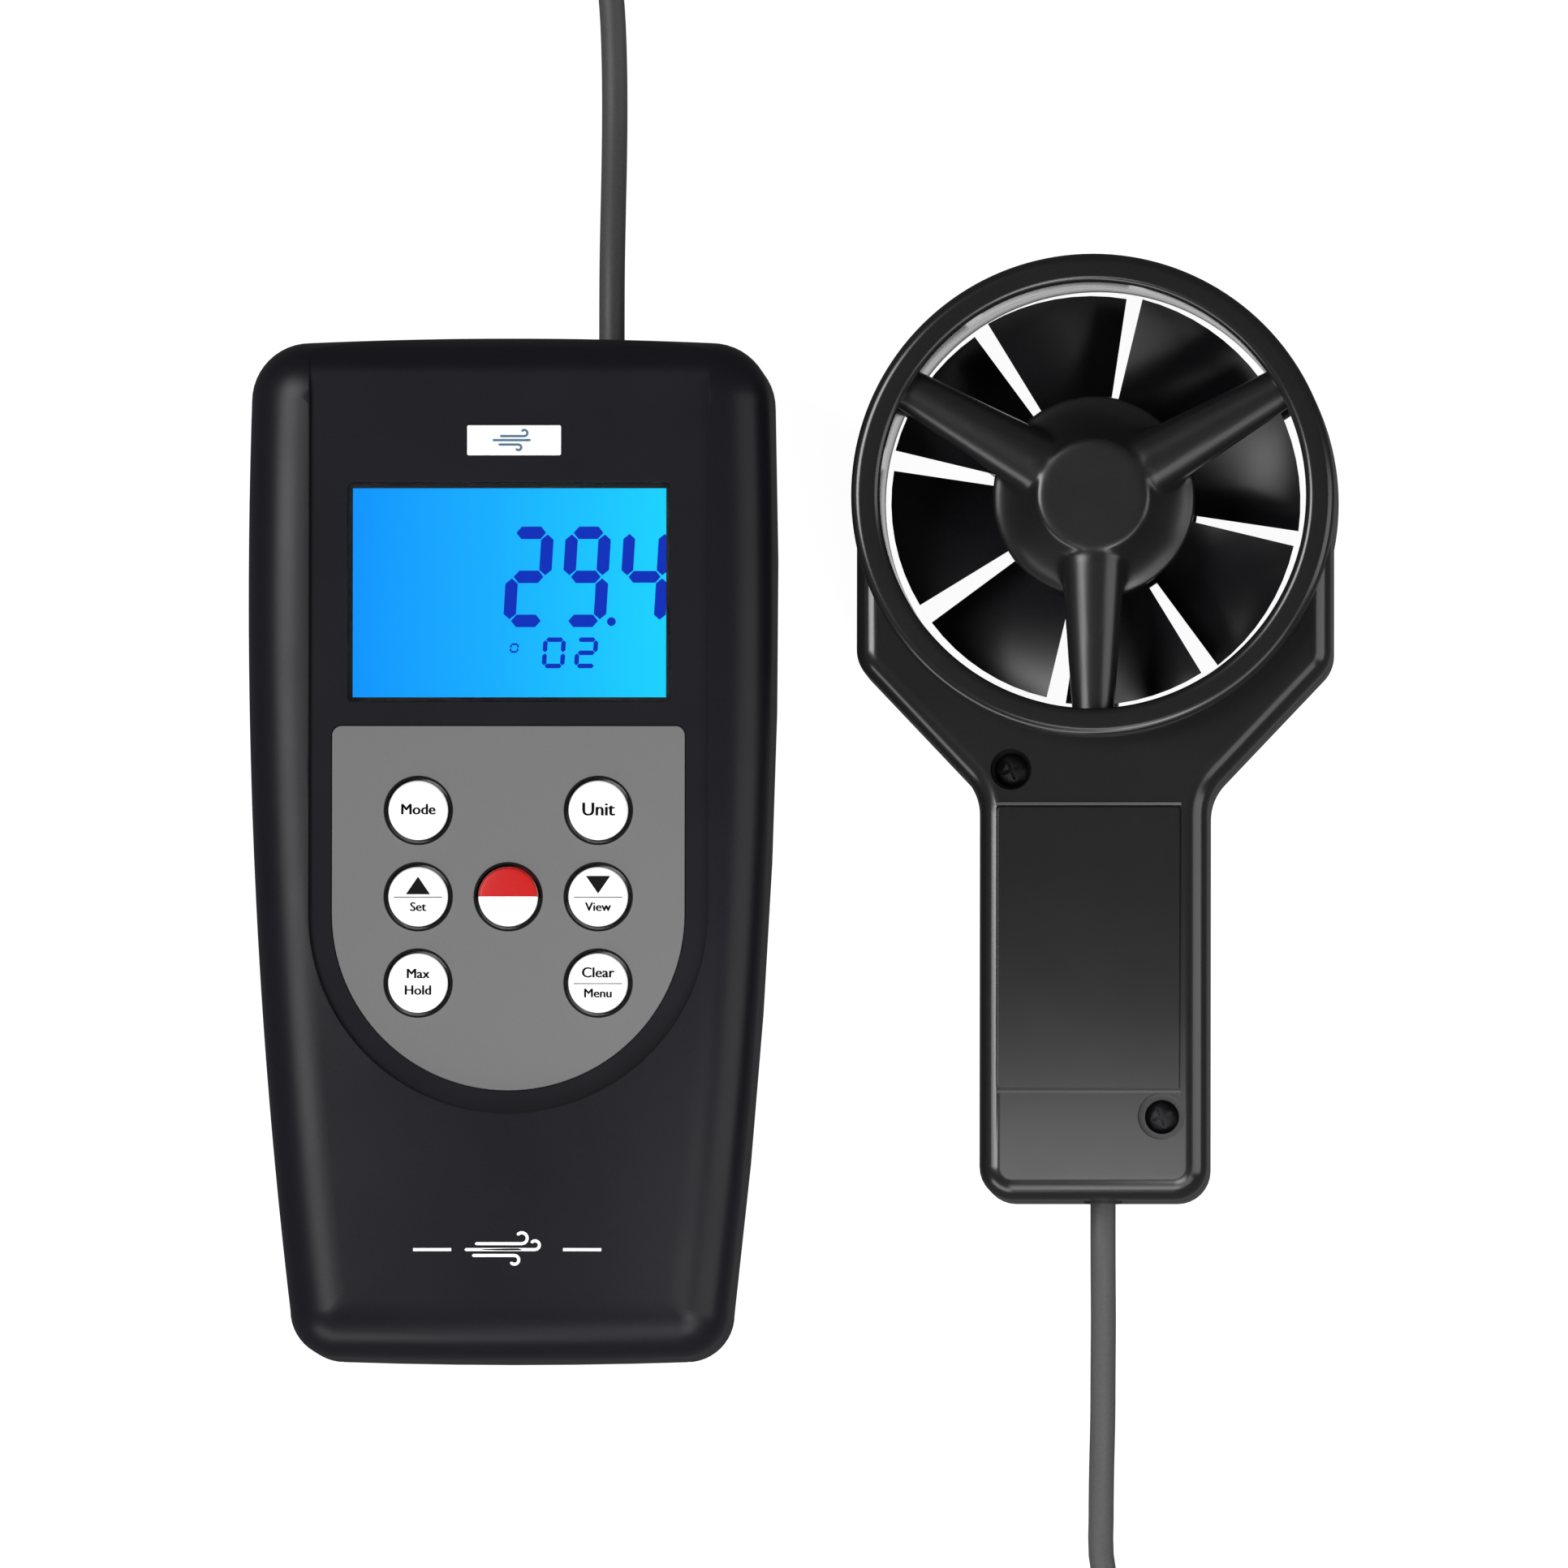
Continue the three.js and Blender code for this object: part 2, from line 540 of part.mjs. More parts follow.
// ---- Cord: one lead from the meter through a coil to the probe ----
const METER_LEAD = [
  [-25.1, 64.6, 9.0], [-25.1, 69, 9.0], [-25.1, 75, 8.3], [-25.05, 82, 6.4], [-25.0, 89, 4.2],
  [-25.0, 96, 2.6], [-25.1, 103, 1.95], [-25.4, 110, 1.85], [-26.1, 117, 1.85], [-27.0, 122.4, 1.85],
];
const PROBE_LEAD = [
  [11.4, 127.5, 1.85], [13.3, 124.1, 1.85], [15.9, 121.1, 1.85], [19.2, 118.7, 1.85], [23, 117.3, 1.85],
  [28, 116.8, 1.85], [42, 116.7, 1.85], [62, 117.0, 1.85], [80, 117.7, 1.85], [84, 118.2, 1.85],
  [94.4, 118.4, 1.85], [103.4, 116.0, 1.85], [110.0, 109.4, 1.85], [112.4, 100.4, 1.85], [112.4, 88, 1.85],
  [111.8, 70, 1.85], [111.3, 35, 1.85], [111, 0, 1.85], [110.8, -35, 1.85], [111, -70, 1.85],
  [110.8, -100, 1.85], [108.4, -110.5, 1.85],
  [102, -117.6, 1.85], [92, -120.4, 1.85], [76, -120.9, 1.85], [60, -120.2, 1.85], [50, -116.9, 1.85],
  [44, -110.4, 1.85], [41.8, -102, 1.85], [41.7, -96, 2.4], [41.8, -89.5, 3.8], [42.0, -83, 5.8],
  [42.1, -76, 8.3], [42.2, -69, 10.7], [42.2, -63, 12.3], [42.2, -58, 13.0], [42.2, -53.9, 13.0],
];

function lead(points, steps) {
  const section = new THREE.Shape();
  for (let i = 0; i < 8; i += 1) {
    const angle = (i + 0.5) * (Math.PI / 4);
    const x = CORD_RADIUS * Math.cos(angle);
    const y = CORD_RADIUS * Math.sin(angle);
    if (i === 0) section.moveTo(x, y);
    else section.lineTo(x, y);
  }
  section.closePath();
  const extrudePath = new THREE.CatmullRomCurve3(points.map((point) => new THREE.Vector3(...point)));
  return solid(new THREE.ExtrudeGeometry(section, { steps, bevelEnabled: false, extrudePath }));
}

function coil() {
  const { inner, outer, bottom, top } = COIL;
  const soft = 1.4; // the bundle's rounded edges
  const profile = [
    [inner + soft, bottom], [outer - soft, bottom], [outer, bottom + soft], [outer, top - soft],
    [outer - soft, top], [inner + soft, top], [inner, top - soft], [inner, bottom + soft],
    [inner + soft, bottom],
  ].map(([x, y]) => new THREE.Vector2(x, y));
  const ring = new THREE.LatheGeometry(profile, 32);
  ring.rotateX(Math.PI / 2);
  ring.translate(COIL.x, COIL.y, 0);
  return solid(ring);
}

// The tie that holds the coil: a band over the bundle at its far side.
function tie() {
  const clear = 0.4;
  const thick = 0.8;
  const low = COIL.y + COIL.inner - 0.3;
  const high = COIL.y + COIL.outer;
  const outside = block(-2, 2, low - clear - thick, high + clear + thick, 0.2, COIL.top + clear + thick);
  const inside = block(-3, 3, low - clear, high + clear, -1, COIL.top + clear);
  return outside.subtract(inside).translate([COIL.x, 0, 0]);
}

function cord() {
  const group = new THREE.Group();
  group.add(
    node("cord_meter_lead", lead(METER_LEAD, 10), RUBBER),
    node("cord_coil", coil(), RUBBER),
    node("cord_probe_lead", lead(PROBE_LEAD, 68), RUBBER),
    node("cord_tie", tie(), FOAM),
  );
  return group;
}

const anemometer = new THREE.Group();
anemometer.add(meter(), probe(), cord());

export default anemometer;
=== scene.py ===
"""A hand-held vane anemometer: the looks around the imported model. Lengths below are millimetres, times MM."""
import math

import bmesh
import bpy
from mathutils import Matrix, Vector


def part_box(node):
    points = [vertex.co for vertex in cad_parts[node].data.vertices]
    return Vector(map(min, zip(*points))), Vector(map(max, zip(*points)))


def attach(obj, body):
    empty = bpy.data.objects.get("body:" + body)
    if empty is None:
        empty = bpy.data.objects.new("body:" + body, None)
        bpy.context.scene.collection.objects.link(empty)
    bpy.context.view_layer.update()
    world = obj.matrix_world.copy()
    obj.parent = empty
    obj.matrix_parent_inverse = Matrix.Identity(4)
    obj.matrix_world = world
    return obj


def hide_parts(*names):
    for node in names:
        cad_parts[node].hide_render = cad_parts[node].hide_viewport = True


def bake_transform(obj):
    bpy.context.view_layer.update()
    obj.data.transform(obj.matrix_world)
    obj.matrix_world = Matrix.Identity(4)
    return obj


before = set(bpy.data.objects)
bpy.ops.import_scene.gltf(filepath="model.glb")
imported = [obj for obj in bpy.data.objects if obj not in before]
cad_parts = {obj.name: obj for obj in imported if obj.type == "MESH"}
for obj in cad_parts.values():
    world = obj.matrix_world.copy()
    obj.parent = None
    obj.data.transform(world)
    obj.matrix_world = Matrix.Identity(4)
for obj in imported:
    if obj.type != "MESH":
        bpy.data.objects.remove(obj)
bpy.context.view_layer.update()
scene = bpy.context.scene
scene.view_settings.view_transform = "Standard"

MM = 0.001


# ---- Places taken from the frame ----
def box_mm(node):
    low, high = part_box(node)
    return low / MM, high / MM


CASE_LOW, CASE_HIGH = box_mm("front_shell")
METER_X = (CASE_LOW.x + CASE_HIGH.x) / 2
CASE_TOP, CASE_BOTTOM, CASE_FRONT = CASE_HIGH.y, CASE_LOW.y, CASE_HIGH.z
SPLIT = CASE_LOW.z
FOIL_LOW, FOIL_HIGH = box_mm("keypad_overlay")
DECK = (FOIL_LOW.z + FOIL_HIGH.z) / 2
WINDOW_LOW, WINDOW_HIGH = box_mm("display_window")
LCD_LOW, LCD_HIGH = box_mm("lcd_panel")
BADGE_LOW, BADGE_HIGH = box_mm("badge")
RING_LOW, RING_HIGH = box_mm("probe_front_housing")
PROBE_X = (RING_LOW.x + RING_HIGH.x) / 2
RING_RADIUS = (RING_HIGH.x - RING_LOW.x) / 2
PROBE_Y = RING_HIGH.y - RING_RADIUS
RING_FRONT = RING_HIGH.z
PROBE_SPLIT = RING_LOW.z
LABEL_LOW, LABEL_HIGH = box_mm("probe_label")
HANDLE_FRONT = LABEL_HIGH.z + 0.1
WHEEL_LOW, WHEEL_HIGH = box_mm("vane_wheel")
KEYS = ["key_function", "key_unit", "key_up", "key_power", "key_down", "key_hold", "key_menu"]


def centre_mm(node):
    low, high = box_mm(node)
    return (low + high) / 2


# ---- Camera ----
VIEW_WIDTH = 213.2  # what the picture's width covers at the height of the front faces
VIEW_CENTRE = Vector((-0.8, 3.0, 30.0))
CAMERA_DISTANCE = 6000.0
CAMERA_LEAN = (0.034, -0.04)  # how far the camera stands to the right and below, per unit of height


def make_camera():
    data = bpy.data.cameras.new("camera")
    data.sensor_width = 36
    data.lens = data.sensor_width * CAMERA_DISTANCE / VIEW_WIDTH
    data.clip_start = 0.1
    data.clip_end = 20
    camera = bpy.data.objects.new("camera", data)
    scene.collection.objects.link(camera)
    back = Vector((CAMERA_LEAN[0], CAMERA_LEAN[1], 1)).normalized()
    right = (Vector((1, 0, 0)) - back * back.x).normalized()
    up = back.cross(right)
    turn = Matrix((right, up, back)).transposed().to_4x4()
    camera.matrix_world = Matrix.Translation((VIEW_CENTRE + back * CAMERA_DISTANCE) * MM) @ turn
    scene.camera = camera


make_camera()


# ---- Mesh tools (millimetres in, metres out) ----
def mesh_object(name, points, faces, recalc=True):
    mesh = bpy.data.meshes.new(name)
    mesh.from_pydata([Vector(p) * MM for p in points], [], faces)
    tool = bmesh.new()
    tool.from_mesh(mesh)
    bmesh.ops.remove_doubles(tool, verts=tool.verts, dist=1e-7)
    if recalc:
        bmesh.ops.recalc_face_normals(tool, faces=tool.faces)
    tool.to_mesh(mesh)
    tool.free()
    piece = bpy.data.objects.new(name, mesh)
    scene.collection.objects.link(piece)
    return piece


def apply_modifiers(piece):
    graph = bpy.context.evaluated_depsgraph_get()
    mesh = bpy.data.meshes.new_from_object(piece.evaluated_get(graph))
    piece.modifiers.clear()
    old = piece.data
    piece.data = mesh
    bpy.data.meshes.remove(old)
    return piece


def carve(piece, tool, operation="DIFFERENCE"):
    """Joins or cuts piece with tool, which is used up."""
    change = piece.modifiers.new("carve", "BOOLEAN")
    change.operation = operation
    change.solver = "EXACT"
    change.object = tool
    apply_modifiers(piece)
    mesh = tool.data
    bpy.data.objects.remove(tool)
    bpy.data.meshes.remove(mesh)
    return piece


def soften(piece, width, segments=2, angle=35):
    """Rounds the piece's sharp edges."""
    change = piece.modifiers.new("soften", "BEVEL")
    change.width = width * MM
    change.segments = segments
    change.limit_method = "ANGLE"
    change.angle_limit = math.radians(angle)
    change.use_clamp_overlap = True
    change.harden_normals = False
    return apply_modifiers(piece)


def smooth(piece, angle=32):
    """Smooth shading that keeps sharp edges sharp and large flat faces flat."""
    piece.data.shade_smooth()
    piece.data.set_sharp_from_angle(angle=math.radians(angle))
    change = piece.modifiers.new("weigh", "WEIGHTED_NORMAL")
    change.keep_sharp = True
    change.weight = 80
    return apply_modifiers(piece)


def loft(name, rings, cap_start=True, cap_end=True):
    """A skin over rings of equal length, closed by flat caps."""
    count = len(rings[0])
    points = [p for ring in rings for p in ring]
    faces = []
    for r in range(len(rings) - 1):
        for i in range(count):
            j = (i + 1) % count
            faces.append((r * count + i, r * count + j, (r + 1) * count + j, (r + 1) * count + i))
    if cap_start:
        faces.append(tuple(range(count))[::-1])
    if cap_end:
        last = (len(rings) - 1) * count
        faces.append(tuple(last + i for i in range(count)))
    return mesh_object(name, points, faces)


def prism(name, outline, z0, z1):
    return loft(name, [[(x, y, z0) for x, y in outline], [(x, y, z1) for x, y in outline]])


def lathe(name, profile, centre=(0, 0), segments=96):
    """A profile of (radius, z) turned about a vertical axis. It starts and ends on the axis or closes."""
    closed = profile[0][0] > 1e-6
    rings = []
    for i in range(segments):
        turn = 2 * math.pi * i / segments
        c, s = math.cos(turn), math.sin(turn)
        rings.append([(centre[0] + r * c, centre[1] + r * s, z) for r, z in profile])
    count = len(profile)
    points = [p for ring in rings for p in ring]
    faces = []
    spans = count if closed else count - 1
    for a in range(segments):
        b = (a + 1) % segments
        for i in range(spans):
            j = (i + 1) % count
            corners = [a * count + i, b * count + i, b * count + j, a * count + j]
            if profile[i][0] < 1e-6:
                corners.remove(b * count + i)
            if profile[j][0] < 1e-6:
                corners.remove(b * count + j)
            faces.append(tuple(corners))
    return mesh_object(name, points, faces)


def cylinder(name, radius, z0, z1, centre, segments=48):
    return lathe(name, [(0, z0), (radius, z0), (radius, z1), (0, z1)], centre, segments)


# ---- Outlines ----
def quadratic(a, b, c, n):
    """n points of a quadratic curve, without its end."""
    out = []
    for i in range(n):
        t = i / n
        u = 1 - t
        out.append(tuple(u * u * a[k] + 2 * u * t * b[k] + t * t * c[k] for k in (0, 1)))
    return out


def arc(x, y, radius, start, end, n):
    out = []
    for i in range(n):
        turn = math.radians(start + (end - start) * i / n)
        out.append((x + radius * math.cos(turn), y + radius * math.sin(turn)))
    return out


def rounded_polygon(corners, n=6):
    """Corners are (x, y, radius)."""
    out = []
    for i, (x, y, radius) in enumerate(corners):
        here = Vector((x, y))
        back = (Vector(corners[i - 1][:2]) - here).normalized()
        ahead = (Vector(corners[(i + 1) % len(corners)][:2]) - here).normalized()
        if radius <= 0:
            out.append((x, y))
            continue
        half = back.angle(ahead) / 2
        reach = radius / math.tan(half)
        middle = here + (back + ahead).normalized() * (radius / math.sin(half))
        first = here + back * reach - middle
        last = here + ahead * reach - middle
        sweep = first.angle_signed(last)
        for k in range(n + 1):
            turn = -sweep * k / n
            c, s = math.cos(turn), math.sin(turn)
            out.append((middle.x + first.x * c - first.y * s, middle.y + first.x * s + first.y * c))
    return out


def rectangle(x0, x1, y0, y1, radius=0.0, n=6):
    return rounded_polygon([(x1, y0, radius), (x1, y1, radius), (x0, y1, radius), (x0, y0, radius)], n)


def shield(half, top, radius, n=64):
    """The keypad's outline: straight sides, a round lower end about ARC_Y and small upper corners."""
    out = arc(METER_X, ARC_Y, half, 180, 360, n)
    out.append((METER_X + half, ARC_Y))
    if radius > 0:
        out += arc(METER_X + half - radius, top - radius, radius, 0, 90, 8)
        out += arc(METER_X - half + radius, top - radius, radius, 90, 180, 8)
        out.append((METER_X - half, top - radius))
    else:
        out += [(METER_X + half, top), (METER_X - half, top)]
    return out


FOIL_HALF = (FOIL_HIGH.x - FOIL_LOW.x) / 2
ARC_Y = FOIL_LOW.y + FOIL_HALF
DECK_HALF = 27.2

# The case in plan, from its middle line: corner centres and radii, and the control point of its bowed sides.
TOP_CORNER = (27.35, CASE_TOP - 8.6, 8.0)
BOTTOM_CORNER = (23.4, CASE_BOTTOM + 6.9, 6.5)
SIDE_CONTROL = (37.3, -6.9)


def case_outline(inset):
    def corner(place, sign):
        x, y, radius = place
        small = max(radius - inset, 1.2)
        shift = inset - (radius - small)
        return x - shift, y - sign * shift, small

    tx, ty, tr = corner(TOP_CORNER, 1)
    bx, by, br = corner(BOTTOM_CORNER, -1)
    sx, sy = SIDE_CONTROL[0] - inset, SIDE_CONTROL[1]
    out = quadratic((-bx, by - br), (0, CASE_BOTTOM - 0.4 + inset), (bx, by - br), 18)
    out += arc(bx, by, br, -90, 0, 12)
    out += quadratic((bx + br, by), (sx, sy), (tx + tr, ty), 44)
    out += arc(tx, ty, tr, 0, 90, 12)
    out += quadratic((tx, ty + tr), (0, CASE_TOP + 0.6 - inset), (-tx, ty + tr), 18)
    out += arc(-tx, ty, tr, 90, 180, 12)
    out += quadratic((-tx - tr, ty), (-sx, sy), (-bx - br, by), 44)
    out += arc(-bx, by, br, 180, 270, 12)
    return [(METER_X + x, y) for x, y in out]


def case_spine(ring, share, low=-48.0, high=34.0):
    """The ring drawn in towards the case's middle line."""
    out = []
    for x, y in ring:
        near = min(max(y, low), high)
        out.append((METER_X + (x - METER_X) * share, near + (y - near) * share))
    return out


# ---- Materials ----
def material(name):
    made = bpy.data.materials.new(name)
    made.use_nodes = True
    tree = made.node_tree
    shader = next(n for n in tree.nodes if n.type == "BSDF_PRINCIPLED")
    return made, tree, shader


def noise_node(tree, scale, detail=3.0, rough=0.5):
    place = tree.nodes.new("ShaderNodeTexCoord")
    texture = tree.nodes.new("ShaderNodeTexNoise")
    texture.inputs["Scale"].default_value = scale
    texture.inputs["Detail"].default_value = detail
    texture.inputs["Roughness"].default_value = rough
    tree.links.new(place.outputs["Object"], texture.inputs["Vector"])
    return texture


def spread(tree, source, low, high):
    """source's middle range spread from low to high."""
    span = tree.nodes.new("ShaderNodeMapRange")
    span.inputs["From Min"].default_value = 0.3
    span.inputs["From Max"].default_value = 0.7
    span.inputs["To Min"].default_value = low
    span.inputs["To Max"].default_value = high
    tree.links.new(source, span.inputs["Value"])
    return span.outputs["Result"]


def two_tone(tree, shader, source, dark, light):
    mix = tree.nodes.new("ShaderNodeMix")
    mix.data_type = "RGBA"
    mix.inputs["A"].default_value = (*dark, 1)
    mix.inputs["B"].default_value = (*light, 1)
    tree.links.new(source, mix.inputs["Factor"])
    tree.links.new(mix.outputs["Result"], shader.inputs["Base Color"])


def bump(tree, shader, source, depth):
    """depth is the height of the relief, in millimetres."""
    relief = tree.nodes.new("ShaderNodeBump")
    relief.inputs["Strength"].default_value = 1.0
    relief.inputs["Distance"].default_value = depth * MM
    tree.links.new(source, relief.inputs["Height"])
    tree.links.new(relief.outputs["Normal"], shader.inputs["Normal"])


def moulded(name, dark, light, rough, grain, depth, shine=0.5):
    """A moulded surface with a fine grain in colour and relief. rough is (low, high)."""
    made, tree, shader = material(name)
    cloud = noise_node(tree, 90.0, 4.0)
    fine = noise_node(tree, grain, 2.0)
    two_tone(tree, shader, spread(tree, fine.outputs["Fac"], 0.0, 1.0), dark, light)
    tree.links.new(spread(tree, cloud.outputs["Fac"], *rough), shader.inputs["Roughness"])
    bump(tree, shader, fine.outputs["Fac"], depth)
    shader.inputs["Specular IOR Level"].default_value = shine
    return made


CASE = moulded(
    "case_plastic", (0.0058, 0.0054, 0.0082), (0.008, 0.0076, 0.011), (0.34, 0.38), 5200.0, 0.006, 0.19,
)
PROBE = moulded(
    "probe_plastic", (0.0085, 0.0085, 0.009), (0.0105, 0.0105, 0.011), (0.2, 0.23), 2600.0, 0.0015,
)
GUARD = moulded(
    "guard_plastic", (0.0085, 0.0085, 0.0088), (0.011, 0.011, 0.0115), (0.28, 0.32), 3000.0, 0.002,
)
VANE = moulded(
    "vane_plastic", (0.006, 0.006, 0.007), (0.008, 0.008, 0.0095), (0.24, 0.28), 2400.0, 0.0015, 0.34,
)
FOIL = moulded("keypad_foil", (0.13, 0.13, 0.13), (0.139, 0.139, 0.139), (0.5, 0.55), 7000.0, 0.003, 0.4)
KEY_WHITE = moulded("key_white", (0.96, 0.96, 0.96), (0.98, 0.98, 0.98), (0.42, 0.48), 4000.0, 0.002)
KEY_RED = moulded("key_red", (0.46, 0.006, 0.005), (0.5, 0.008, 0.007), (0.4, 0.46), 4000.0, 0.002, 0.3)
RUBBER = moulded("soft_rubber", (0.012, 0.012, 0.012), (0.018, 0.018, 0.018), (0.6, 0.7), 3500.0, 0.005, 0.35)
CORD = moulded("cord_jacket", (0.05, 0.05, 0.051), (0.06, 0.06, 0.061), (0.5, 0.58), 2800.0, 0.008, 0.35)
FOAM = moulded("foam", (0.006, 0.006, 0.006), (0.012, 0.012, 0.012), (0.8, 0.95), 2200.0, 0.03)
PRINT_WHITE = moulded("white_ink", (0.86, 0.86, 0.86), (0.92, 0.92, 0.92), (0.45, 0.55), 6000.0, 0.001)
PRINT_BLACK = moulded(
    "black_ink", (0.003, 0.003, 0.003), (0.005, 0.005, 0.005), (0.45, 0.55), 6000.0, 0.001, 0.1,
)
PLATE = moulded("badge_plate", (0.8, 0.81, 0.82), (0.86, 0.87, 0.88), (0.3, 0.36), 5000.0, 0.001)
BADGE_INK = moulded("badge_ink", (0.05, 0.12, 0.2), (0.06, 0.14, 0.22), (0.4, 0.5), 5000.0, 0.001)
BOARD = moulded("circuit_board", (0.015, 0.1, 0.04), (0.022, 0.14, 0.055), (0.35, 0.45), 1500.0, 0.01)
CELL = moulded("cell_jacket", (0.03, 0.11, 0.3), (0.04, 0.14, 0.36), (0.25, 0.35), 1500.0, 0.003)


def bright_metal(name, colour, rough):
    made, tree, shader = material(name)
    fine = noise_node(tree, 1800.0, 3.0)
    shader.inputs["Metallic"].default_value = 1.0
    shader.inputs["Base Color"].default_value = (*colour, 1)
    tree.links.new(spread(tree, fine.outputs["Fac"], *rough), shader.inputs["Roughness"])
    bump(tree, shader, fine.outputs["Fac"], 0.003)
    return made


STEEL = bright_metal("plain_steel", (0.55, 0.55, 0.57), (0.22, 0.36))
SCREW = bright_metal("black_screw", (0.03, 0.03, 0.032), (0.35, 0.48))


def clear_window():
    made, tree, shader = material("window_clear")
    fine = noise_node(tree, 700.0, 2.0)
    shader.inputs["Base Color"].default_value = (1, 1, 1, 1)
    shader.inputs["Transmission Weight"].default_value = 1.0
    shader.inputs["IOR"].default_value = 1.46
    tree.links.new(spread(tree, fine.outputs["Fac"], 0.0, 0.015), shader.inputs["Roughness"])
    return made


CLEAR = clear_window()


def lit_display():
    """The liquid crystal lit from its left edge: azure turning to cyan."""
    made, tree, shader = material("display")
    place = tree.nodes.new("ShaderNodeTexCoord")
    split = tree.nodes.new("ShaderNodeSeparateXYZ")
    ramp = tree.nodes.new("ShaderNodeValToRGB")
    tree.links.new(place.outputs["Generated"], split.inputs["Vector"])
    cloud = noise_node(tree, 25.0, 2.0)
    drift = tree.nodes.new("ShaderNodeMath")
    drift.operation = "MULTIPLY_ADD"
    drift.inputs[1].default_value = 0.08
    tree.links.new(cloud.outputs["Fac"], drift.inputs[0])
    tree.links.new(split.outputs["X"], drift.inputs[2])
    tree.links.new(drift.outputs["Value"], ramp.inputs["Fac"])
    stops = ramp.color_ramp.elements
    stops[0].position, stops[0].color = 0.1, (0.0, 0.29, 0.97, 1)
    stops[1].position, stops[1].color = 0.98, (0.006, 0.62, 0.97, 1)
    middle = ramp.color_ramp.elements.new(0.5)
    middle.color = (0.003, 0.41, 0.98, 1)
    shader.inputs["Base Color"].default_value = (0.002, 0.02, 0.05, 1)
    shader.inputs["Roughness"].default_value = 0.35
    shader.inputs["Specular IOR Level"].default_value = 0.0
    tree.links.new(ramp.outputs["Color"], shader.inputs["Emission Color"])
    shader.inputs["Emission Strength"].default_value = 1.08
    return made


def digit_blue():
    made, tree, shader = material("display_digit")
    cloud = noise_node(tree, 160.0, 2.0)
    mix = tree.nodes.new("ShaderNodeMix")
    mix.data_type = "RGBA"
    mix.inputs["A"].default_value = (0.0005, 0.022, 0.46, 1)
    mix.inputs["B"].default_value = (0.0005, 0.03, 0.52, 1)
    tree.links.new(cloud.outputs["Fac"], mix.inputs["Factor"])
    tree.links.new(mix.outputs["Result"], shader.inputs["Emission Color"])
    shader.inputs["Emission Strength"].default_value = 1.0
    shader.inputs["Base Color"].default_value = (0.001, 0.004, 0.05, 1)
    shader.inputs["Specular IOR Level"].default_value = 0.0
    return made


DISPLAY = lit_display()
DIGIT = digit_blue()


def place(piece, body, coat, slot, *replaced):
    """Gives the piece its material and body, and hides the CAD nodes that it stands for. slot is not used."""
    piece.data.materials.clear()
    piece.data.materials.append(coat)
    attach(piece, body)
    if replaced:
        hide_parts(*replaced)
    return piece


# ---- Cord ----
CORD_RADIUS = 1.75
METER_LEAD = [
    (-25.1, 63.2, 9.0), (-25.1, 69, 9.0), (-25.1, 75, 8.3), (-25.05, 82, 6.4), (-25.0, 89, 4.2),
    (-25.0, 96, 2.6), (-25.1, 103, 1.95), (-25.4, 110, 1.85), (-26.1, 117, 1.85), (-27.0, 122.4, 1.85),
]
PROBE_LEAD = [
    (11.4, 127.5, 1.85), (13.3, 124.1, 1.85), (15.9, 121.1, 1.85), (19.2, 118.7, 1.85), (23, 117.3, 1.85),
    (28, 116.8, 1.85), (42, 116.7, 1.85), (62, 117.0, 1.85), (80, 117.7, 1.85), (84, 118.2, 1.85),
    (94.4, 118.4, 1.85), (103.4, 116.0, 1.85), (110.0, 109.4, 1.85), (112.4, 100.4, 1.85), (112.4, 88, 1.85),
    (111.8, 70, 1.85), (111.3, 35, 1.85),
    (111, 0, 1.85), (110.8, -35, 1.85), (111, -70, 1.85), (110.8, -100, 1.85), (108.4, -110.5, 1.85),
    (102, -117.6, 1.85), (92, -120.4, 1.85), (76, -120.9, 1.85), (60, -120.2, 1.85), (50, -116.9, 1.85),
    (44, -110.4, 1.85), (41.8, -102, 1.85), (41.7, -96, 2.4), (41.8, -89.5, 3.8), (42.0, -83, 5.8),
    (42.1, -76, 8.3), (42.2, -69, 10.7), (42.2, -63, 12.3), (42.2, -58, 13.0), (42.2, -52.6, 13.0),
]
COIL_LOW, COIL_HIGH = box_mm("cord_coil")
COIL_CENTRE = (COIL_LOW + COIL_HIGH) / 2
COIL_TURNS = 5.5
COIL_PITCH = 3.53
COIL_RADIUS = (COIL_HIGH.x - COIL_LOW.x) / 2 - 1.5 * COIL_PITCH
COIL_PLACES = [(1, 0), (0, 0), (-1, 0), (-1, 1), (0, 1), (1, 1)]  # each turn's column and layer
POINTS_PER_TURN = 30


def ease(t):
    t = min(max(t, 0.0), 1.0)
    return t * t * (3 - 2 * t)


def coil_points():
    """The turns, clockwise from the left side, each shifting to the next place over its last stretch."""
    out = []
    total = round(COIL_TURNS * POINTS_PER_TURN)
    for i in range(total + 1):
        t = i / POINTS_PER_TURN
        turn = min(int(t), len(COIL_PLACES) - 1)
        after = min(turn + 1, len(COIL_PLACES) - 1)
        shift = ease((t - turn - 0.7) / 0.3)
        column = COIL_PLACES[turn][0] * (1 - shift) + COIL_PLACES[after][0] * shift
        layer = COIL_PLACES[turn][1] * (1 - shift) + COIL_PLACES[after][1] * shift
        radius = COIL_RADIUS + column * COIL_PITCH
        angle = math.pi - 2 * math.pi * t
        out.append((
            COIL_CENTRE.x + radius * math.cos(angle),
            COIL_CENTRE.y + radius * math.sin(angle),
            1.85 + layer * 3.4,
        ))
    return out


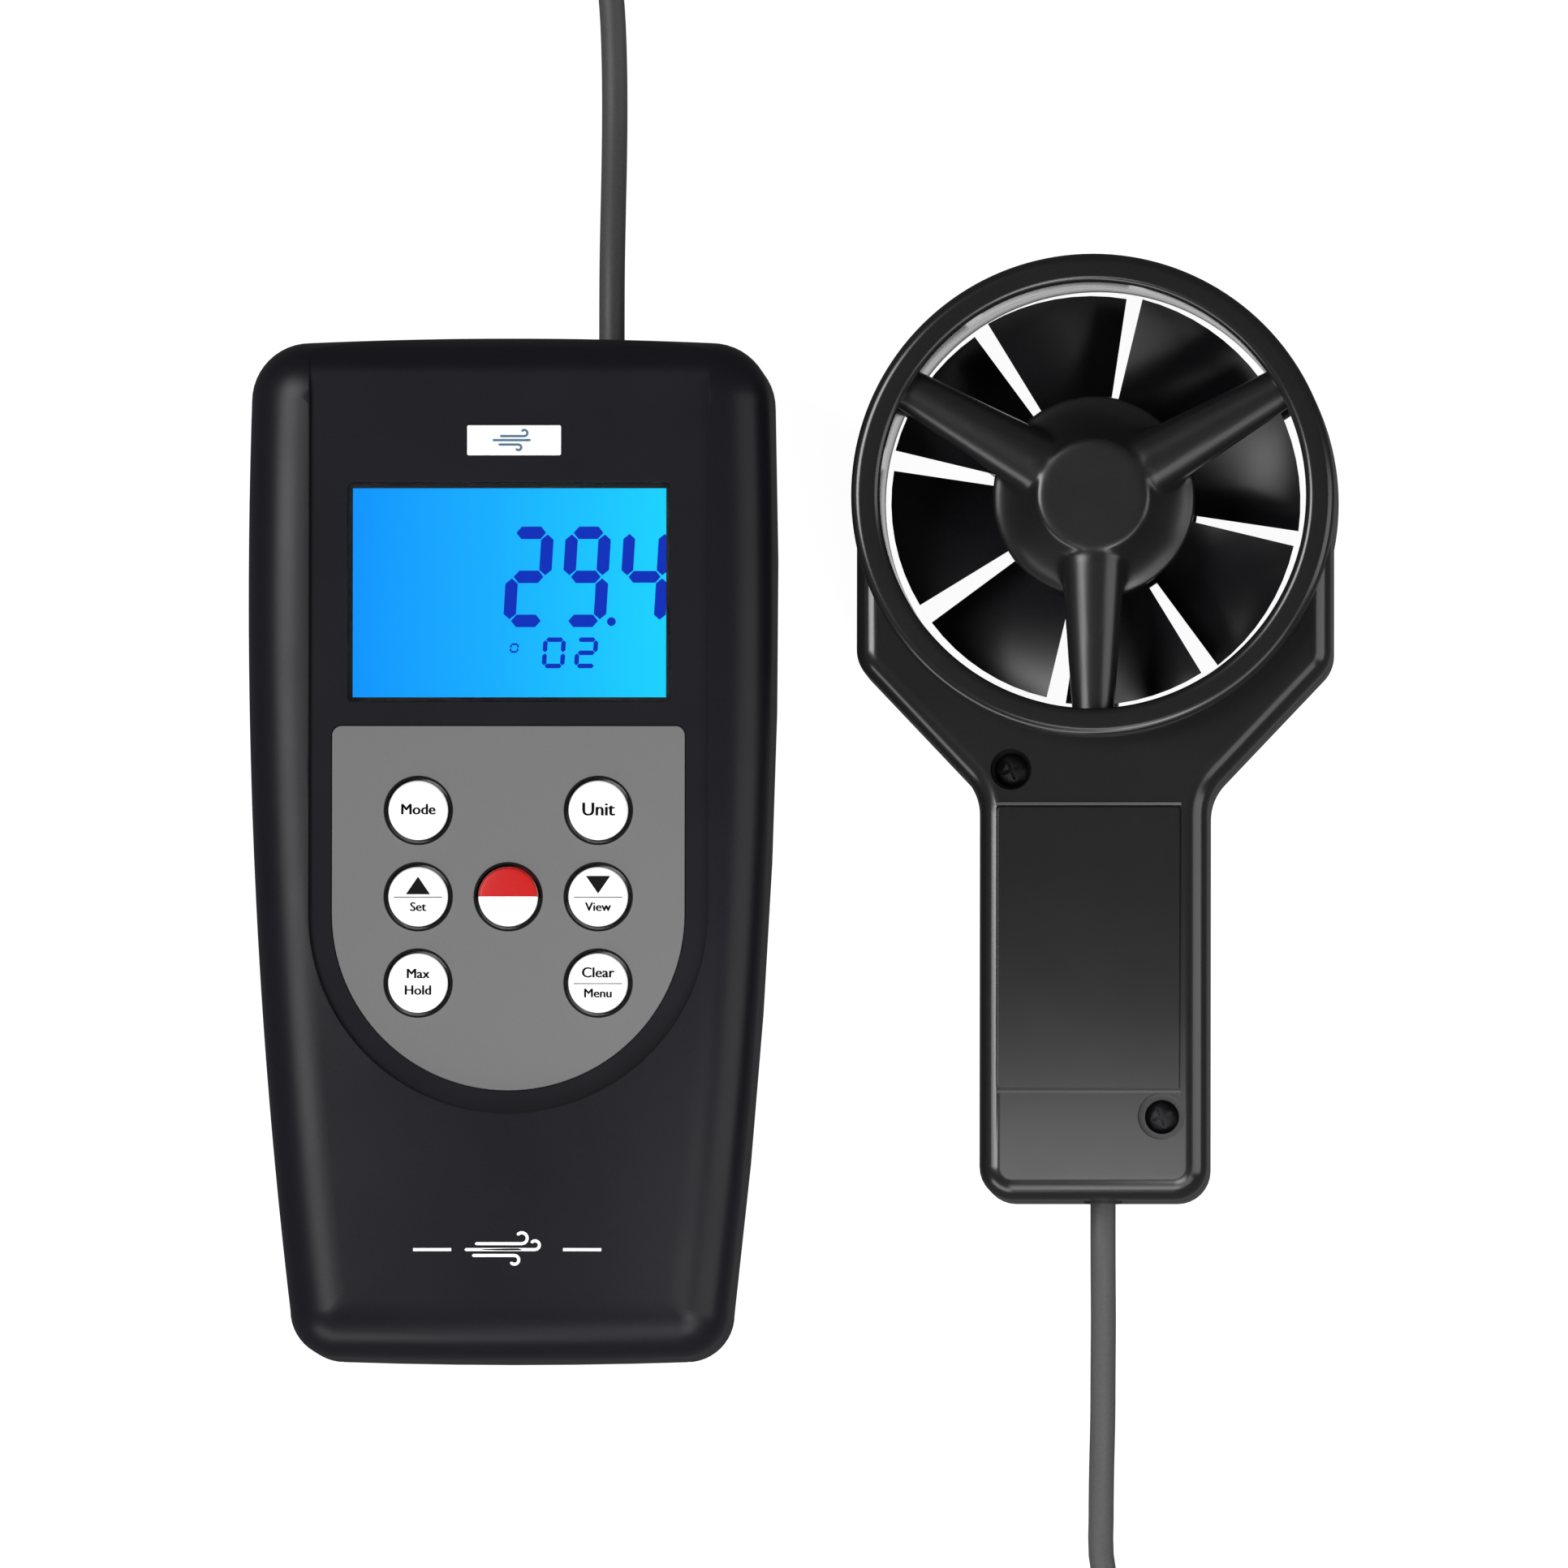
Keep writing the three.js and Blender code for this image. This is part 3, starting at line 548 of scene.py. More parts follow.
def through(points, step):
    """Evenly spaced points on a smooth curve through points."""
    knots = [Vector(p) for p in points]
    fine = []
    for i in range(len(knots) - 1):
        a = knots[max(i - 1, 0)]
        b, c = knots[i], knots[i + 1]
        d = knots[min(i + 2, len(knots) - 1)]
        reach = (c - b).length
        tangent_b = (c - a).normalized() * reach
        tangent_c = (d - b).normalized() * reach
        for k in range(12):
            t = k / 12
            fine.append(
                b * (2 * t**3 - 3 * t**2 + 1) + tangent_b * (t**3 - 2 * t**2 + t)
                + c * (3 * t**2 - 2 * t**3) + tangent_c * (t**3 - t**2)
            )
    fine.append(knots[-1])
    out, carried = [fine[0]], 0.0
    for a, b in zip(fine, fine[1:]):
        span = (b - a).length
        while carried + span >= step:
            share = (step - carried) / span
            a = a.lerp(b, share)
            out.append(a)
            span = (b - a).length
            carried = 0.0
        carried += span
    out.append(fine[-1])
    return out


def tube(name, path, radius, sides=14):
    """A round tube along path, with closed ends."""
    rings = []
    side = Vector((1, 0, 0))
    for i, point in enumerate(path):
        ahead = (path[min(i + 1, len(path) - 1)] - path[max(i - 1, 0)]).normalized()
        side = (side - ahead * side.dot(ahead)).normalized()
        up = ahead.cross(side)
        ring = []
        for k in range(sides):
            turn = 2 * math.pi * k / sides
            ring.append(point + side * (radius * math.cos(turn)) + up * (radius * math.sin(turn)))
        rings.append(ring)
    return loft(name, rings)


CORD_STEP = 2.4  # how far apart the points of the cord's path lie


def make_cord():
    start = through(METER_LEAD + coil_points()[3:-3] + PROBE_LEAD, CORD_STEP)
    cord = smooth(tube("cord", start, CORD_RADIUS), 60)
    cord.data.materials.append(CORD)
    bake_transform(cord)
    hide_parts("cord_meter_lead", "cord_coil", "cord_probe_lead")
    return cord, start


cord, cord_path = make_cord()


def make_tie():
    """A soft band round the coil's bundle."""
    low, high = box_mm("cord_tie")
    middle_y, middle_z = (low.y + high.y) / 2, 3.75
    half_y, half_z, thick = 6.0, 3.6, 0.55
    inner = rectangle(middle_y - half_y, middle_y + half_y, middle_z - half_z, middle_z + half_z, 1.9, 5)
    outer = rectangle(
        middle_y - half_y - thick, middle_y + half_y + thick,
        middle_z - half_z - thick, middle_z + half_z + thick, 2.4, 5,
    )
    x0, x1 = low.x, high.x
    rings = [
        [(x0, y, max(z, 0.02)) for y, z in outer], [(x1, y, max(z, 0.02)) for y, z in outer],
        [(x1, y, max(z, 0.1)) for y, z in inner], [(x0, y, max(z, 0.1)) for y, z in inner],
        [(x0, y, max(z, 0.02)) for y, z in outer],
    ]
    return loft("coil_tie", rings, False, False)


tie = place(smooth(make_tie()), "meter", FOAM, "foam", "cord_tie")


# ---- Floor, air and lights ----
def lit_floor():
    """A pale table, evenly lit, so that almost no shadow shows on it."""
    made, tree, shader = material("floor")
    shader.inputs["Base Color"].default_value = (0.16, 0.16, 0.16, 1)
    shader.inputs["Roughness"].default_value = 0.9
    shader.inputs["Specular IOR Level"].default_value = 0.0
    shader.inputs["Emission Color"].default_value = (1, 1, 1, 1)
    shader.inputs["Emission Strength"].default_value = 0.96
    return made


FLOOR_HALF = 900.0
floor = mesh_object(
    "floor",
    [
        (-FLOOR_HALF, -FLOOR_HALF, 0), (FLOOR_HALF, -FLOOR_HALF, 0),
        (FLOOR_HALF, FLOOR_HALF, 0), (-FLOOR_HALF, FLOOR_HALF, 0),
    ],
    [(0, 1, 2, 3)], False,
)
floor.data.materials.append(lit_floor())
floor.visible_glossy = False  # the floor glows, and the sides of the case would mirror it

# a round card under the vane, so that the bore's wall mirrors the bright table
CARD_RADIUS = 28.4
card_turns = [math.pi * i / 36 for i in range(72)]
card = mesh_object(
    "card",
    [(PROBE_X + CARD_RADIUS * math.cos(t), PROBE_Y + CARD_RADIUS * math.sin(t), 0.03) for t in card_turns],
    [tuple(range(72))], False,
)
card.data.materials.append(floor.data.materials[0])

world = bpy.data.worlds.new("air")
scene.world = world
world.use_nodes = True
world.node_tree.nodes["Background"].inputs["Color"].default_value = (1, 1, 1, 1)
world.node_tree.nodes["Background"].inputs["Strength"].default_value = 0.1


def panel(name, where, aim, width, height, power):
    """A softbox at where, facing aim."""
    data = bpy.data.lights.new(name, "AREA")
    data.shape = "RECTANGLE"
    data.size, data.size_y = width * MM, height * MM
    data.energy = power
    lamp = bpy.data.objects.new(name, data)
    scene.collection.objects.link(lamp)
    lamp.location = Vector(where) * MM
    lamp.rotation_euler = (Vector(aim) - Vector(where)).to_track_quat("-Z", "Y").to_euler()
    return lamp


panel("head_light", (-880, 300, 1200), (0, 0, 20), 700, 700, 18.5)
panel("right_box", (950, -60, 420), (0, 0, 20), 500, 900, 3.5)
panel("foot_box", (420, -780, 700), (0, 0, 20), 1100, 560, 4.5)
panel("corner_box", (-480, -900, 330), (0, 0, 20), 1000, 360, 4.5)
# small lights close over the probe, for the highlights on its polished faces
panel("handle_light", (34, -58, 190), (34, -58, 0), 70, 44, 0.042)
panel("vane_light", (85, -127, 185), (45, 55, 15), 70, 60, 0.1)
panel("bevel_light", (48, -185, 110), (42, -64, 22), 80, 40, 0.03)


# ---- Meter case ----
EDGE = 8.0  # how far in from the outline the front starts to round over
ROUNDING = 2.5  # 2 would be an elliptical edge; more is squarer
CROWN = 0.0017  # how much the front falls away per square of the distance from its middle line


def crown(x, y):
    return CASE_FRONT - CROWN * (x - METER_X) ** 2


def case_front():
    """The upper case: an upright wall that rounds over into a gently crowned front."""
    rings = []
    wall_top = CASE_FRONT - 9.5

    def ring(inset, z_at):
        rings.append([(x, y, z_at(x, y)) for x, y in case_outline(inset)])

    ring(0.45, lambda x, y: SPLIT + 0.15)
    ring(0.0, lambda x, y: SPLIT + 0.55)
    ring(0.0, lambda x, y: wall_top - 2)
    for share in (0.0, 0.01, 0.035, 0.075, 0.13, 0.2, 0.29, 0.4, 0.53, 0.68, 0.84, 1.0):
        rise = (1 - (1 - share) ** ROUNDING) ** (1 / ROUNDING)
        ring(EDGE * share, lambda x, y, s=rise: wall_top + (crown(x, y) - wall_top) * s)
    inner = case_outline(EDGE)
    for share in (0.75, 0.5, 0.25, 0.0):
        rings.append([(x, y, crown(x, y)) for x, y in case_spine(inner, share)])
    return loft("case_front", rings, True, False)


def deck_cutter():
    """Clears the flat keypad deck: straight sides and a round lower end."""
    outline = shield(DECK_HALF, CASE_TOP + 12, 0)
    body = prism("deck_cut", outline, DECK, CASE_FRONT + 8)
    return body


def top_fall_cutter():
    """Rounds the deck's upper end down towards the case's top edge."""
    reach, drop = 6.0, 9.0
    start = CASE_TOP - 5.6
    profile = [(start, DECK)]
    for i in range(1, 9):
        turn = math.pi / 2 * i / 8
        profile.append((start + reach * math.sin(turn), DECK - drop * (1 - math.cos(turn))))
    profile += [(CASE_TOP + 6, DECK - drop), (CASE_TOP + 6, CASE_FRONT + 8), (start, CASE_FRONT + 8)]
    left = [(METER_X - DECK_HALF, y, z) for y, z in profile]
    right = [(METER_X + DECK_HALF, y, z) for y, z in profile]
    return loft("top_cut", [left, right])


def hole_cutter(points, z0, z1, radius):
    """One tool that bores round holes at points."""
    tool = None
    for x, y in points:
        bore = cylinder("bore", radius, z0, z1, (x, y), 48)
        if tool is None:
            tool = bore
            continue
        joined = bmesh.new()
        joined.from_mesh(tool.data)
        joined.from_mesh(bore.data)
        joined.to_mesh(tool.data)
        joined.free()
        bpy.data.objects.remove(bore)
    return tool


KEY_PLACES = [(centre_mm(key).x, centre_mm(key).y) for key in KEYS]
KEY_RADIUS = 4.05
KEY_HOLE = 4.45
KEY_SKIRT = (box_mm("key_up")[1].x - box_mm("key_up")[0].x) / 2
FOIL_TOP = FOIL_HIGH.y


def make_case():
    shell = case_front()
    carve(shell, deck_cutter())
    carve(shell, top_fall_cutter())
    # seats for the foil, the badge and the window, and a hollow behind them
    foil_seat = shield(FOIL_HALF + 0.12, FOIL_TOP + 0.12, 1.4)
    carve(shell, prism("foil_seat", foil_seat, FOIL_LOW.z, DECK + 3))
    badge_seat = rectangle(
        BADGE_LOW.x - 0.12, BADGE_HIGH.x + 0.12, BADGE_LOW.y - 0.12, BADGE_HIGH.y + 0.12, 0.7,
    )
    carve(shell, prism("badge_seat", badge_seat, BADGE_LOW.z, DECK + 3))
    frame_hole = rectangle(
        WINDOW_LOW.x - 0.1, WINDOW_HIGH.x + 0.1, WINDOW_LOW.y - 0.1, WINDOW_HIGH.y + 0.1, 0.9,
    )
    carve(shell, prism("window_hole", frame_hole, SPLIT - 2, DECK + 3))
    carve(shell, hole_cutter(KEY_PLACES, SPLIT - 2, DECK + 3, KEY_HOLE))
    hollow = prism("hollow", [(x, y) for x, y in case_outline(9.0)], SPLIT - 1, DECK - 7.6)
    carve(shell, hollow)
    soften(shell, 0.28, 3, 38)
    return place(smooth(shell, 30), "meter", CASE, "case_plastic", "front_shell")


case = make_case()


def make_foil():
    foil = prism("foil", shield(FOIL_HALF, FOIL_TOP, 1.3), FOIL_LOW.z, FOIL_HIGH.z)
    carve(foil, hole_cutter(KEY_PLACES, DECK - 3, DECK + 3, KEY_HOLE))
    soften(foil, 0.06, 1, 40)
    place(smooth(foil), "meter", FOIL, "keypad_foil", "keypad_overlay")


make_foil()


def make_keys():
    for key, (x, y) in zip(KEYS, KEY_PLACES):
        low, high = box_mm(key)
        top, skirt = high.z, low.z
        shoulder = skirt + 4.0
        profile = [(0, skirt), (KEY_RADIUS, skirt), (KEY_RADIUS, skirt + 2.8), (KEY_SKIRT, skirt + 2.8)]
        profile += [(KEY_SKIRT, shoulder), (KEY_RADIUS, shoulder), (KEY_RADIUS, top - 0.55)]
        for i in range(1, 6):
            turn = math.pi / 2 * i / 5
            profile.append((KEY_RADIUS - 0.42 * (1 - math.cos(turn)), top - 0.55 + 0.42 * math.sin(turn)))
        profile += [(KEY_RADIUS * 0.6, top - 0.05), (0, top)]
        cap = lathe(key + "_cap", profile, (x, y), 72)
        place(smooth(cap, 40), key, KEY_WHITE, "key_white", key)
        if key == "key_power":
            cap.data.materials.append(KEY_RED)
            for face in cap.data.polygons:
                middle = face.center / MM
                if middle.y > y + 0.05 and face.normal.z > 0.2:
                    face.material_index = 1


make_keys()


def print_flat(name, outline, z, thick=0.03):
    """Printed ink: a very thin plate on a surface at height z."""
    return prism(name, outline, z + 0.01, z + 0.01 + thick)


def join_all(name, parts):
    """One mesh of several."""
    whole = bmesh.new()
    for part in parts:
        whole.from_mesh(part.data)
        bpy.data.objects.remove(part)
    mesh = bpy.data.meshes.new(name)
    whole.to_mesh(mesh)
    whole.free()
    piece = bpy.data.objects.new(name, mesh)
    scene.collection.objects.link(piece)
    return piece


def gap_shade_rings():
    """A thin black ring round each key's hole: painted shade that darkens the outline of the gap round the key.
    """
    rings = []
    for x, y in KEY_PLACES:
        rings.append(lathe(
            "ring",
            [(4.44, DECK + 0.2), (4.72, DECK + 0.2), (4.72, DECK + 0.23), (4.44, DECK + 0.23)],
            (x, y), 72,
        ))
    # black ink used here as painted shade round the keys
    place(join_all("key_gap_shade", rings), "meter", PRINT_BLACK, "keypad_foil")


gap_shade_rings()


def words(text, size, x, y, z):
    """Generic words in the built-in font, as a thin plate centred on x, y. size is the letters' height."""
    curve = bpy.data.curves.new(text, "FONT")
    curve.body = text
    curve.size = size * 1.38 * MM
    curve.align_x = "CENTER"
    curve.align_y = "CENTER"
    curve.extrude = 0.015 * MM
    curve.resolution_u = 3
    holder = bpy.data.objects.new(text, curve)
    scene.collection.objects.link(holder)
    graph = bpy.context.evaluated_depsgraph_get()
    copies = []
    for shift in (-0.035, 0.035):  # two prints side by side make the strokes bolder
        mesh = bpy.data.meshes.new_from_object(holder.evaluated_get(graph))
        mesh.transform(Matrix.Translation(Vector((x + shift * size, y, z + 0.03)) * MM))
        copy = bpy.data.objects.new(text, mesh)
        scene.collection.objects.link(copy)
        copies.append(copy)
    bpy.data.objects.remove(holder)
    return join_all(text, copies)


def legend(key, *parts):
    place(join_all(key + "_print", list(parts)), key, PRINT_BLACK, "key_white")


def make_legends():
    where = dict(zip(KEYS, KEY_PLACES))
    top = box_mm("key_up")[1].z

    def bar(x, y, half=3.3):
        return print_flat("bar", rectangle(x - half, x + half, y - 0.055, y + 0.055), top - 0.02)

    def arrow(x, y, sign):
        points = [(x - 1.65, y - 1.2 * sign), (x + 1.65, y - 1.2 * sign), (x, y + 1.2 * sign)]
        return print_flat("arrow", points[::sign], top - 0.02)

    x, y = where["key_function"]
    legend("key_function", words("Mode", 1.5, x, y + 0.05, top))
    x, y = where["key_unit"]
    legend("key_unit", words("Unit", 1.85, x, y + 0.05, top))
    x, y = where["key_up"]
    legend("key_up", arrow(x, y + 1.5, 1), bar(x, y - 0.1), words("Set", 1.25, x, y - 1.45, top))
    x, y = where["key_down"]
    legend("key_down", arrow(x, y + 1.6, -1), bar(x, y - 0.1), words("View", 1.25, x, y - 1.45, top))
    x, y = where["key_hold"]
    legend("key_hold", words("Max", 1.35, x, y + 1.2, top), words("Hold", 1.35, x, y - 1.05, top))
    x, y = where["key_menu"]
    legend(
        "key_menu",
        words("Clear", 1.45, x, y + 1.35, top), bar(x, y - 0.1), words("Menu", 1.25, x, y - 1.45, top),
    )


make_legends()


# ---- Display ----
def bar_outline(a, b, thick):
    """A display segment from a to b: a bar with pointed ends."""
    a, b = Vector(a), Vector(b)
    ahead = (b - a).normalized()
    side = Vector((-ahead.y, ahead.x)) * thick / 2
    tip = ahead * thick * 0.42
    return [tuple(p) for p in (a, a + tip + side * -1, b - tip - side, b, b - tip + side, a + tip + side)]


SEGMENTS = {
    "0": "abcdef", "2": "abged", "4": "fgbc", "9": "abcdfg",
}


def digit(number, x, y, width, height, thick, lean):
    """One seven-segment digit, its lower left corner at x, y."""
    left, right = x + thick / 2, x + width - thick / 2
    low, middle, high = y + thick / 2, y + height / 2, y + height - thick / 2
    gap = thick * 0.13
    ends = {
        "a": ((left + gap, high), (right - gap, high)),
        "b": ((right, high - gap), (right, middle + gap)),
        "c": ((right, middle - gap), (right, low + gap)),
        "d": ((left + gap, low), (right - gap, low)),
        "e": ((left, middle - gap), (left, low + gap)),
        "f": ((left, high - gap), (left, middle + gap)),
        "g": ((left + gap, middle), (right - gap, middle)),
    }
    parts = []
    for letter in SEGMENTS[number]:
        a, b = ends[letter]
        outline = bar_outline(a, b, thick)
        slanted = [(px + (py - y) * lean, py) for px, py in outline]
        parts.append(print_flat("segment", slanted, LCD_HIGH.z, 0.02))
    return parts


def make_display():
    panel_plate = prism(
        "lcd_glass", rectangle(LCD_LOW.x, LCD_HIGH.x, LCD_LOW.y, LCD_HIGH.y), LCD_LOW.z, LCD_HIGH.z,
    )
    place(panel_plate, "meter", DISPLAY, "display", "lcd_panel")
    lean = 0.06
    right = WINDOW_HIGH.x - 0.2
    low = WINDOW_LOW.y + 10.2
    parts = digit("2", right - 22.7, low, 6.2, 13.7, 1.7, lean)
    parts += digit("9", right - 14.9, low, 6.2, 13.7, 1.7, lean)
    parts += digit("4", right - 7.0, low, 6.4, 13.7, 1.6, lean)
    parts.append(print_flat("point", arc(right - 7.9, low + 0.75, 0.6, 0, 360, 20), LCD_HIGH.z, 0.02))
    parts += digit("0", right - 17.4, low - 5.6, 3.1, 4.2, 0.62, lean)
    parts += digit("2", right - 13.0, low - 5.6, 3.1, 4.2, 0.62, lean)
    parts += digit("0", right - 21.8, low - 3.5, 1.2, 1.3, 0.26, lean * 2)
    place(join_all("lcd_digits", parts), "meter", DIGIT, "display")
    pane = prism(
        "window_pane", rectangle(WINDOW_LOW.x, WINDOW_HIGH.x, WINDOW_LOW.y, WINDOW_HIGH.y, 0.8),
        WINDOW_LOW.z, WINDOW_HIGH.z,
    )
    place(pane, "meter", CLEAR, "window_clear", "display_window")


make_display()


def wavy_line(points, width):
    """A flat stroke of even width with round ends along points."""
    left, right = [], []
    for i, here in enumerate(points):
        back = Vector(points[max(i - 1, 0)])
        ahead = Vector(points[min(i + 1, len(points) - 1)])
        way = (ahead - back).normalized()
        side = Vector((-way.y, way.x)) * width / 2
        left.append(tuple(Vector(here) + side))
        right.append(tuple(Vector(here) - side))
    first, last = Vector(points[0]), Vector(points[-1])
    start_way = (Vector(points[1]) - first).normalized()
    end_way = (last - Vector(points[-2])).normalized()
    nose = [tuple(last + end_way * width / 2)]
    tail = [tuple(first - start_way * width / 2)]
    return right + nose + left[::-1] + tail


def gust(x, y, length, curl, sign):
    """One wind line of a weather symbol: a straight run that curls back at its end."""
    points = [(x, y), (x + length * 0.5, y), (x + length, y)]
    for i in range(1, 9):
        turn = math.radians(-90 + 225 * i / 8)
        points.append((x + length + curl * math.cos(turn), y + sign * (curl + curl * math.sin(turn))))
    return points


def make_wind_symbol():
    """Where makers print a title: a plain symbol of three wind lines between two rules."""
    low, z = CASE_BOTTOM + 13.4, DECK + 1.5
    parts = []
    lines = [(-4.2, 2.3, 6.2, 0.75, 1), (-5.6, 1.5, 9.4, 0.6, 1), (-4.6, 0.7, 5.6, 0.6, -1)]
    for x, y, length, curl, sign in lines:
        outline = wavy_line(gust(METER_X + x, low + y, length, curl, sign), 0.42)
        parts.append(outline)
    for sign in (-1, 1):
        x0, x1 = sorted((METER_X + sign * 7.6, METER_X + sign * 12.8))
        parts.append(rectangle(x0, x1, low + 1.29, low + 1.71))
    pieces = []
    for outline in parts:
        flat = print_flat("line", outline, 0, 0.03)
        for vertex in flat.data.vertices:
            x, y = vertex.co.x / MM, vertex.co.y / MM
            vertex.co.z += (crown(x, y)) * MM - 0.012 * MM
        pieces.append(flat)
    place(join_all("wind_symbol", pieces), "meter", PRINT_WHITE, "case_plastic")


make_wind_symbol()


def make_badge():
    """A plain plate with a generic wind symbol."""
    plate = prism(
        "badge_plate", rectangle(BADGE_LOW.x, BADGE_HIGH.x, BADGE_LOW.y, BADGE_HIGH.y, 0.25),
        BADGE_LOW.z, BADGE_HIGH.z,
    )
    soften(plate, 0.05, 1)
    place(smooth(plate), "meter", PLATE, "white_plastic", "badge")
    x, y = BADGE_LOW.x + 4.2, (BADGE_LOW.y + BADGE_HIGH.y) / 2
    lines = [(0.4, 0.55, 3.2, 0.42, 1), (-0.6, 0.0, 4.9, 0.01, 1), (0.2, -0.6, 2.6, 0.38, -1)]
    parts = []
    for dx, dy, length, curl, sign in lines:
        line = wavy_line(gust(x + dx, y + dy, length, curl, sign), 0.3)
        parts.append(print_flat("gust", line, BADGE_HIGH.z))
    place(join_all("badge_print", parts), "meter", BADGE_INK, "white_plastic")


make_badge()


# ---- Probe ----
HANDLE_END = RING_LOW.y - PROBE_Y
BORE, BORE_MOUTH = 29.0, 30.1
SHOULDER = 32.3
HANDLE_HALF = 15.5
HANDLE_CORNERS = [
    (-HANDLE_HALF, HANDLE_END, 4.5), (HANDLE_HALF, HANDLE_END, 4.5), (HANDLE_HALF, -40.5, 7.0),
    (SHOULDER, -22.8, 5.0), (SHOULDER, 2.0, 0.6), (-SHOULDER, 2.0, 0.6), (-SHOULDER, -22.8, 5.0),
    (-HANDLE_HALF, -40.5, 7.0),
]


def inset_corners(corners, inset):
    """The outline drawn in by inset. Corners run counterclockwise."""
    out = []
    count = len(corners)
    for i, (x, y, radius) in enumerate(corners):
        here = Vector((x, y))
        into = (here - Vector(corners[i - 1][:2])).normalized()
        away = (Vector(corners[(i + 1) % count][:2]) - here).normalized()
        normal_a, normal_b = Vector((-into.y, into.x)), Vector((-away.y, away.x))
        mitre = (normal_a + normal_b) / (1 + normal_a.dot(normal_b))
        moved = here + mitre * inset
        turn = into.x * away.y - into.y * away.x
        grown = max(radius - inset, 0.4) if turn > 0 else radius + inset
        out.append((moved.x, moved.y, grown))
    return out


def probe_outline(inset):
    points = rounded_polygon(inset_corners(HANDLE_CORNERS, inset), 8)
    return [(PROBE_X + x, PROBE_Y + y) for x, y in points]


def half_ring(z0, z1, name):
    """The round frame between heights z0 and z1; z1's side is the outer one."""
    sign = 1 if z1 > z0 else -1
    profile = [(RING_RADIUS - 0.35, z0), (RING_RADIUS, z0 + 0.35 * sign)]
    for i in range(0, 7):
        turn = math.pi / 2 * i / 6
        profile.append((RING_RADIUS - 1.3 * (1 - math.cos(turn)), z1 - sign * 1.3 * (1 - math.sin(turn))))
    for i in range(0, 7):
        turn = math.pi / 2 * i / 6
        profile.append((BORE_MOUTH - 1.1 * math.sin(turn), z1 - sign * 1.1 * (1 - math.cos(turn))))
    profile += [(BORE, z0)]
    return lathe(name, profile, (PROBE_X, PROBE_Y), 160)


def handle_half(z0, z1, edge, name):
    sign = 1 if z1 > z0 else -1
    rings = []
    for inset, z in ((0.35, z0), (0.0, z0 + 0.35 * sign)):
        rings.append([(x, y, z) for x, y in probe_outline(inset)])
    for i in range(0, 8):
        turn = math.pi / 2 * i / 7
        inset, z = edge * (1 - math.cos(turn)), z1 - sign * edge * (1 - math.sin(turn))
        rings.append([(x, y, z) for x, y in probe_outline(inset)])
    body = loft(name, rings)
    bore = cylinder("bore", RING_RADIUS - 1.2, min(z0, z1) - 2, max(z0, z1) + 2, (PROBE_X, PROBE_Y), 160)
    return carve(body, bore)


def rib(a, b, radius_a, radius_b, name="rib"):
    """A tapered round rod with round ends from a to b."""
    a, b = Vector(a), Vector(b)
    length = (b - a).length
    profile = []
    for i in range(0, 7):
        turn = math.pi / 2 * i / 6
        profile.append((radius_a * math.sin(turn), -radius_a * math.cos(turn)))
    for i in range(0, 7):
        turn = math.pi / 2 * i / 6
        profile.append((radius_b * math.cos(turn), length + radius_b * math.sin(turn)))
    profile[0] = (0, -radius_a)
    profile[-1] = (0, length + radius_b)
    rod = lathe(name, profile, (0, 0), 32)
    turn = Vector((0, 0, 1)).rotation_difference((b - a).normalized()).to_matrix().to_4x4()
    rod.data.transform(Matrix.Translation(a * MM) @ turn)
    return rod


GUARD_ANGLES = (30, 150, 270)


def guard(name, hub_profile, arm_z, end_z):
    """The hub and its three arms, melted into one skin."""
    parts = [lathe("hub", hub_profile, (PROBE_X, PROBE_Y), 96)]
    for degrees in GUARD_ANGLES:
        way = Vector((math.cos(math.radians(degrees)), math.sin(math.radians(degrees)), 0))
        start = Vector((PROBE_X, PROBE_Y, arm_z)) + way * 8.6
        stop = Vector((PROBE_X, PROBE_Y, end_z)) + way * (BORE + 1.6)
        arm = rib(start, stop, 4.4, 2.8)
        flatter = Matrix.Translation((0, 0, arm_z * MM)) @ Matrix.Diagonal((1, 1, 0.86, 1))
        arm.data.transform(flatter @ Matrix.Translation((0, 0, -arm_z * MM)))
        parts.append(arm)
    whole = join_all(name, parts)
    melt = whole.modifiers.new("melt", "REMESH")
    melt.mode = "VOXEL"
    melt.voxel_size = 0.34 * MM
    relax = whole.modifiers.new("relax", "SMOOTH")
    relax.factor = 0.5
    relax.iterations = 12
    apply_modifiers(whole)
    rim = cylinder("rim", BORE_MOUTH - 0.15, 0.2, RING_FRONT - 0.3, (PROBE_X, PROBE_Y), 128)
    carve(whole, rim, "INTERSECT")
    whole.data.shade_smooth()
    return whole


def probe_screw_places():
    out = []
    for number in (1, 2):
        spot = centre_mm(f"probe_screw_{number}")
        out.append((spot.x, spot.y))
    return out


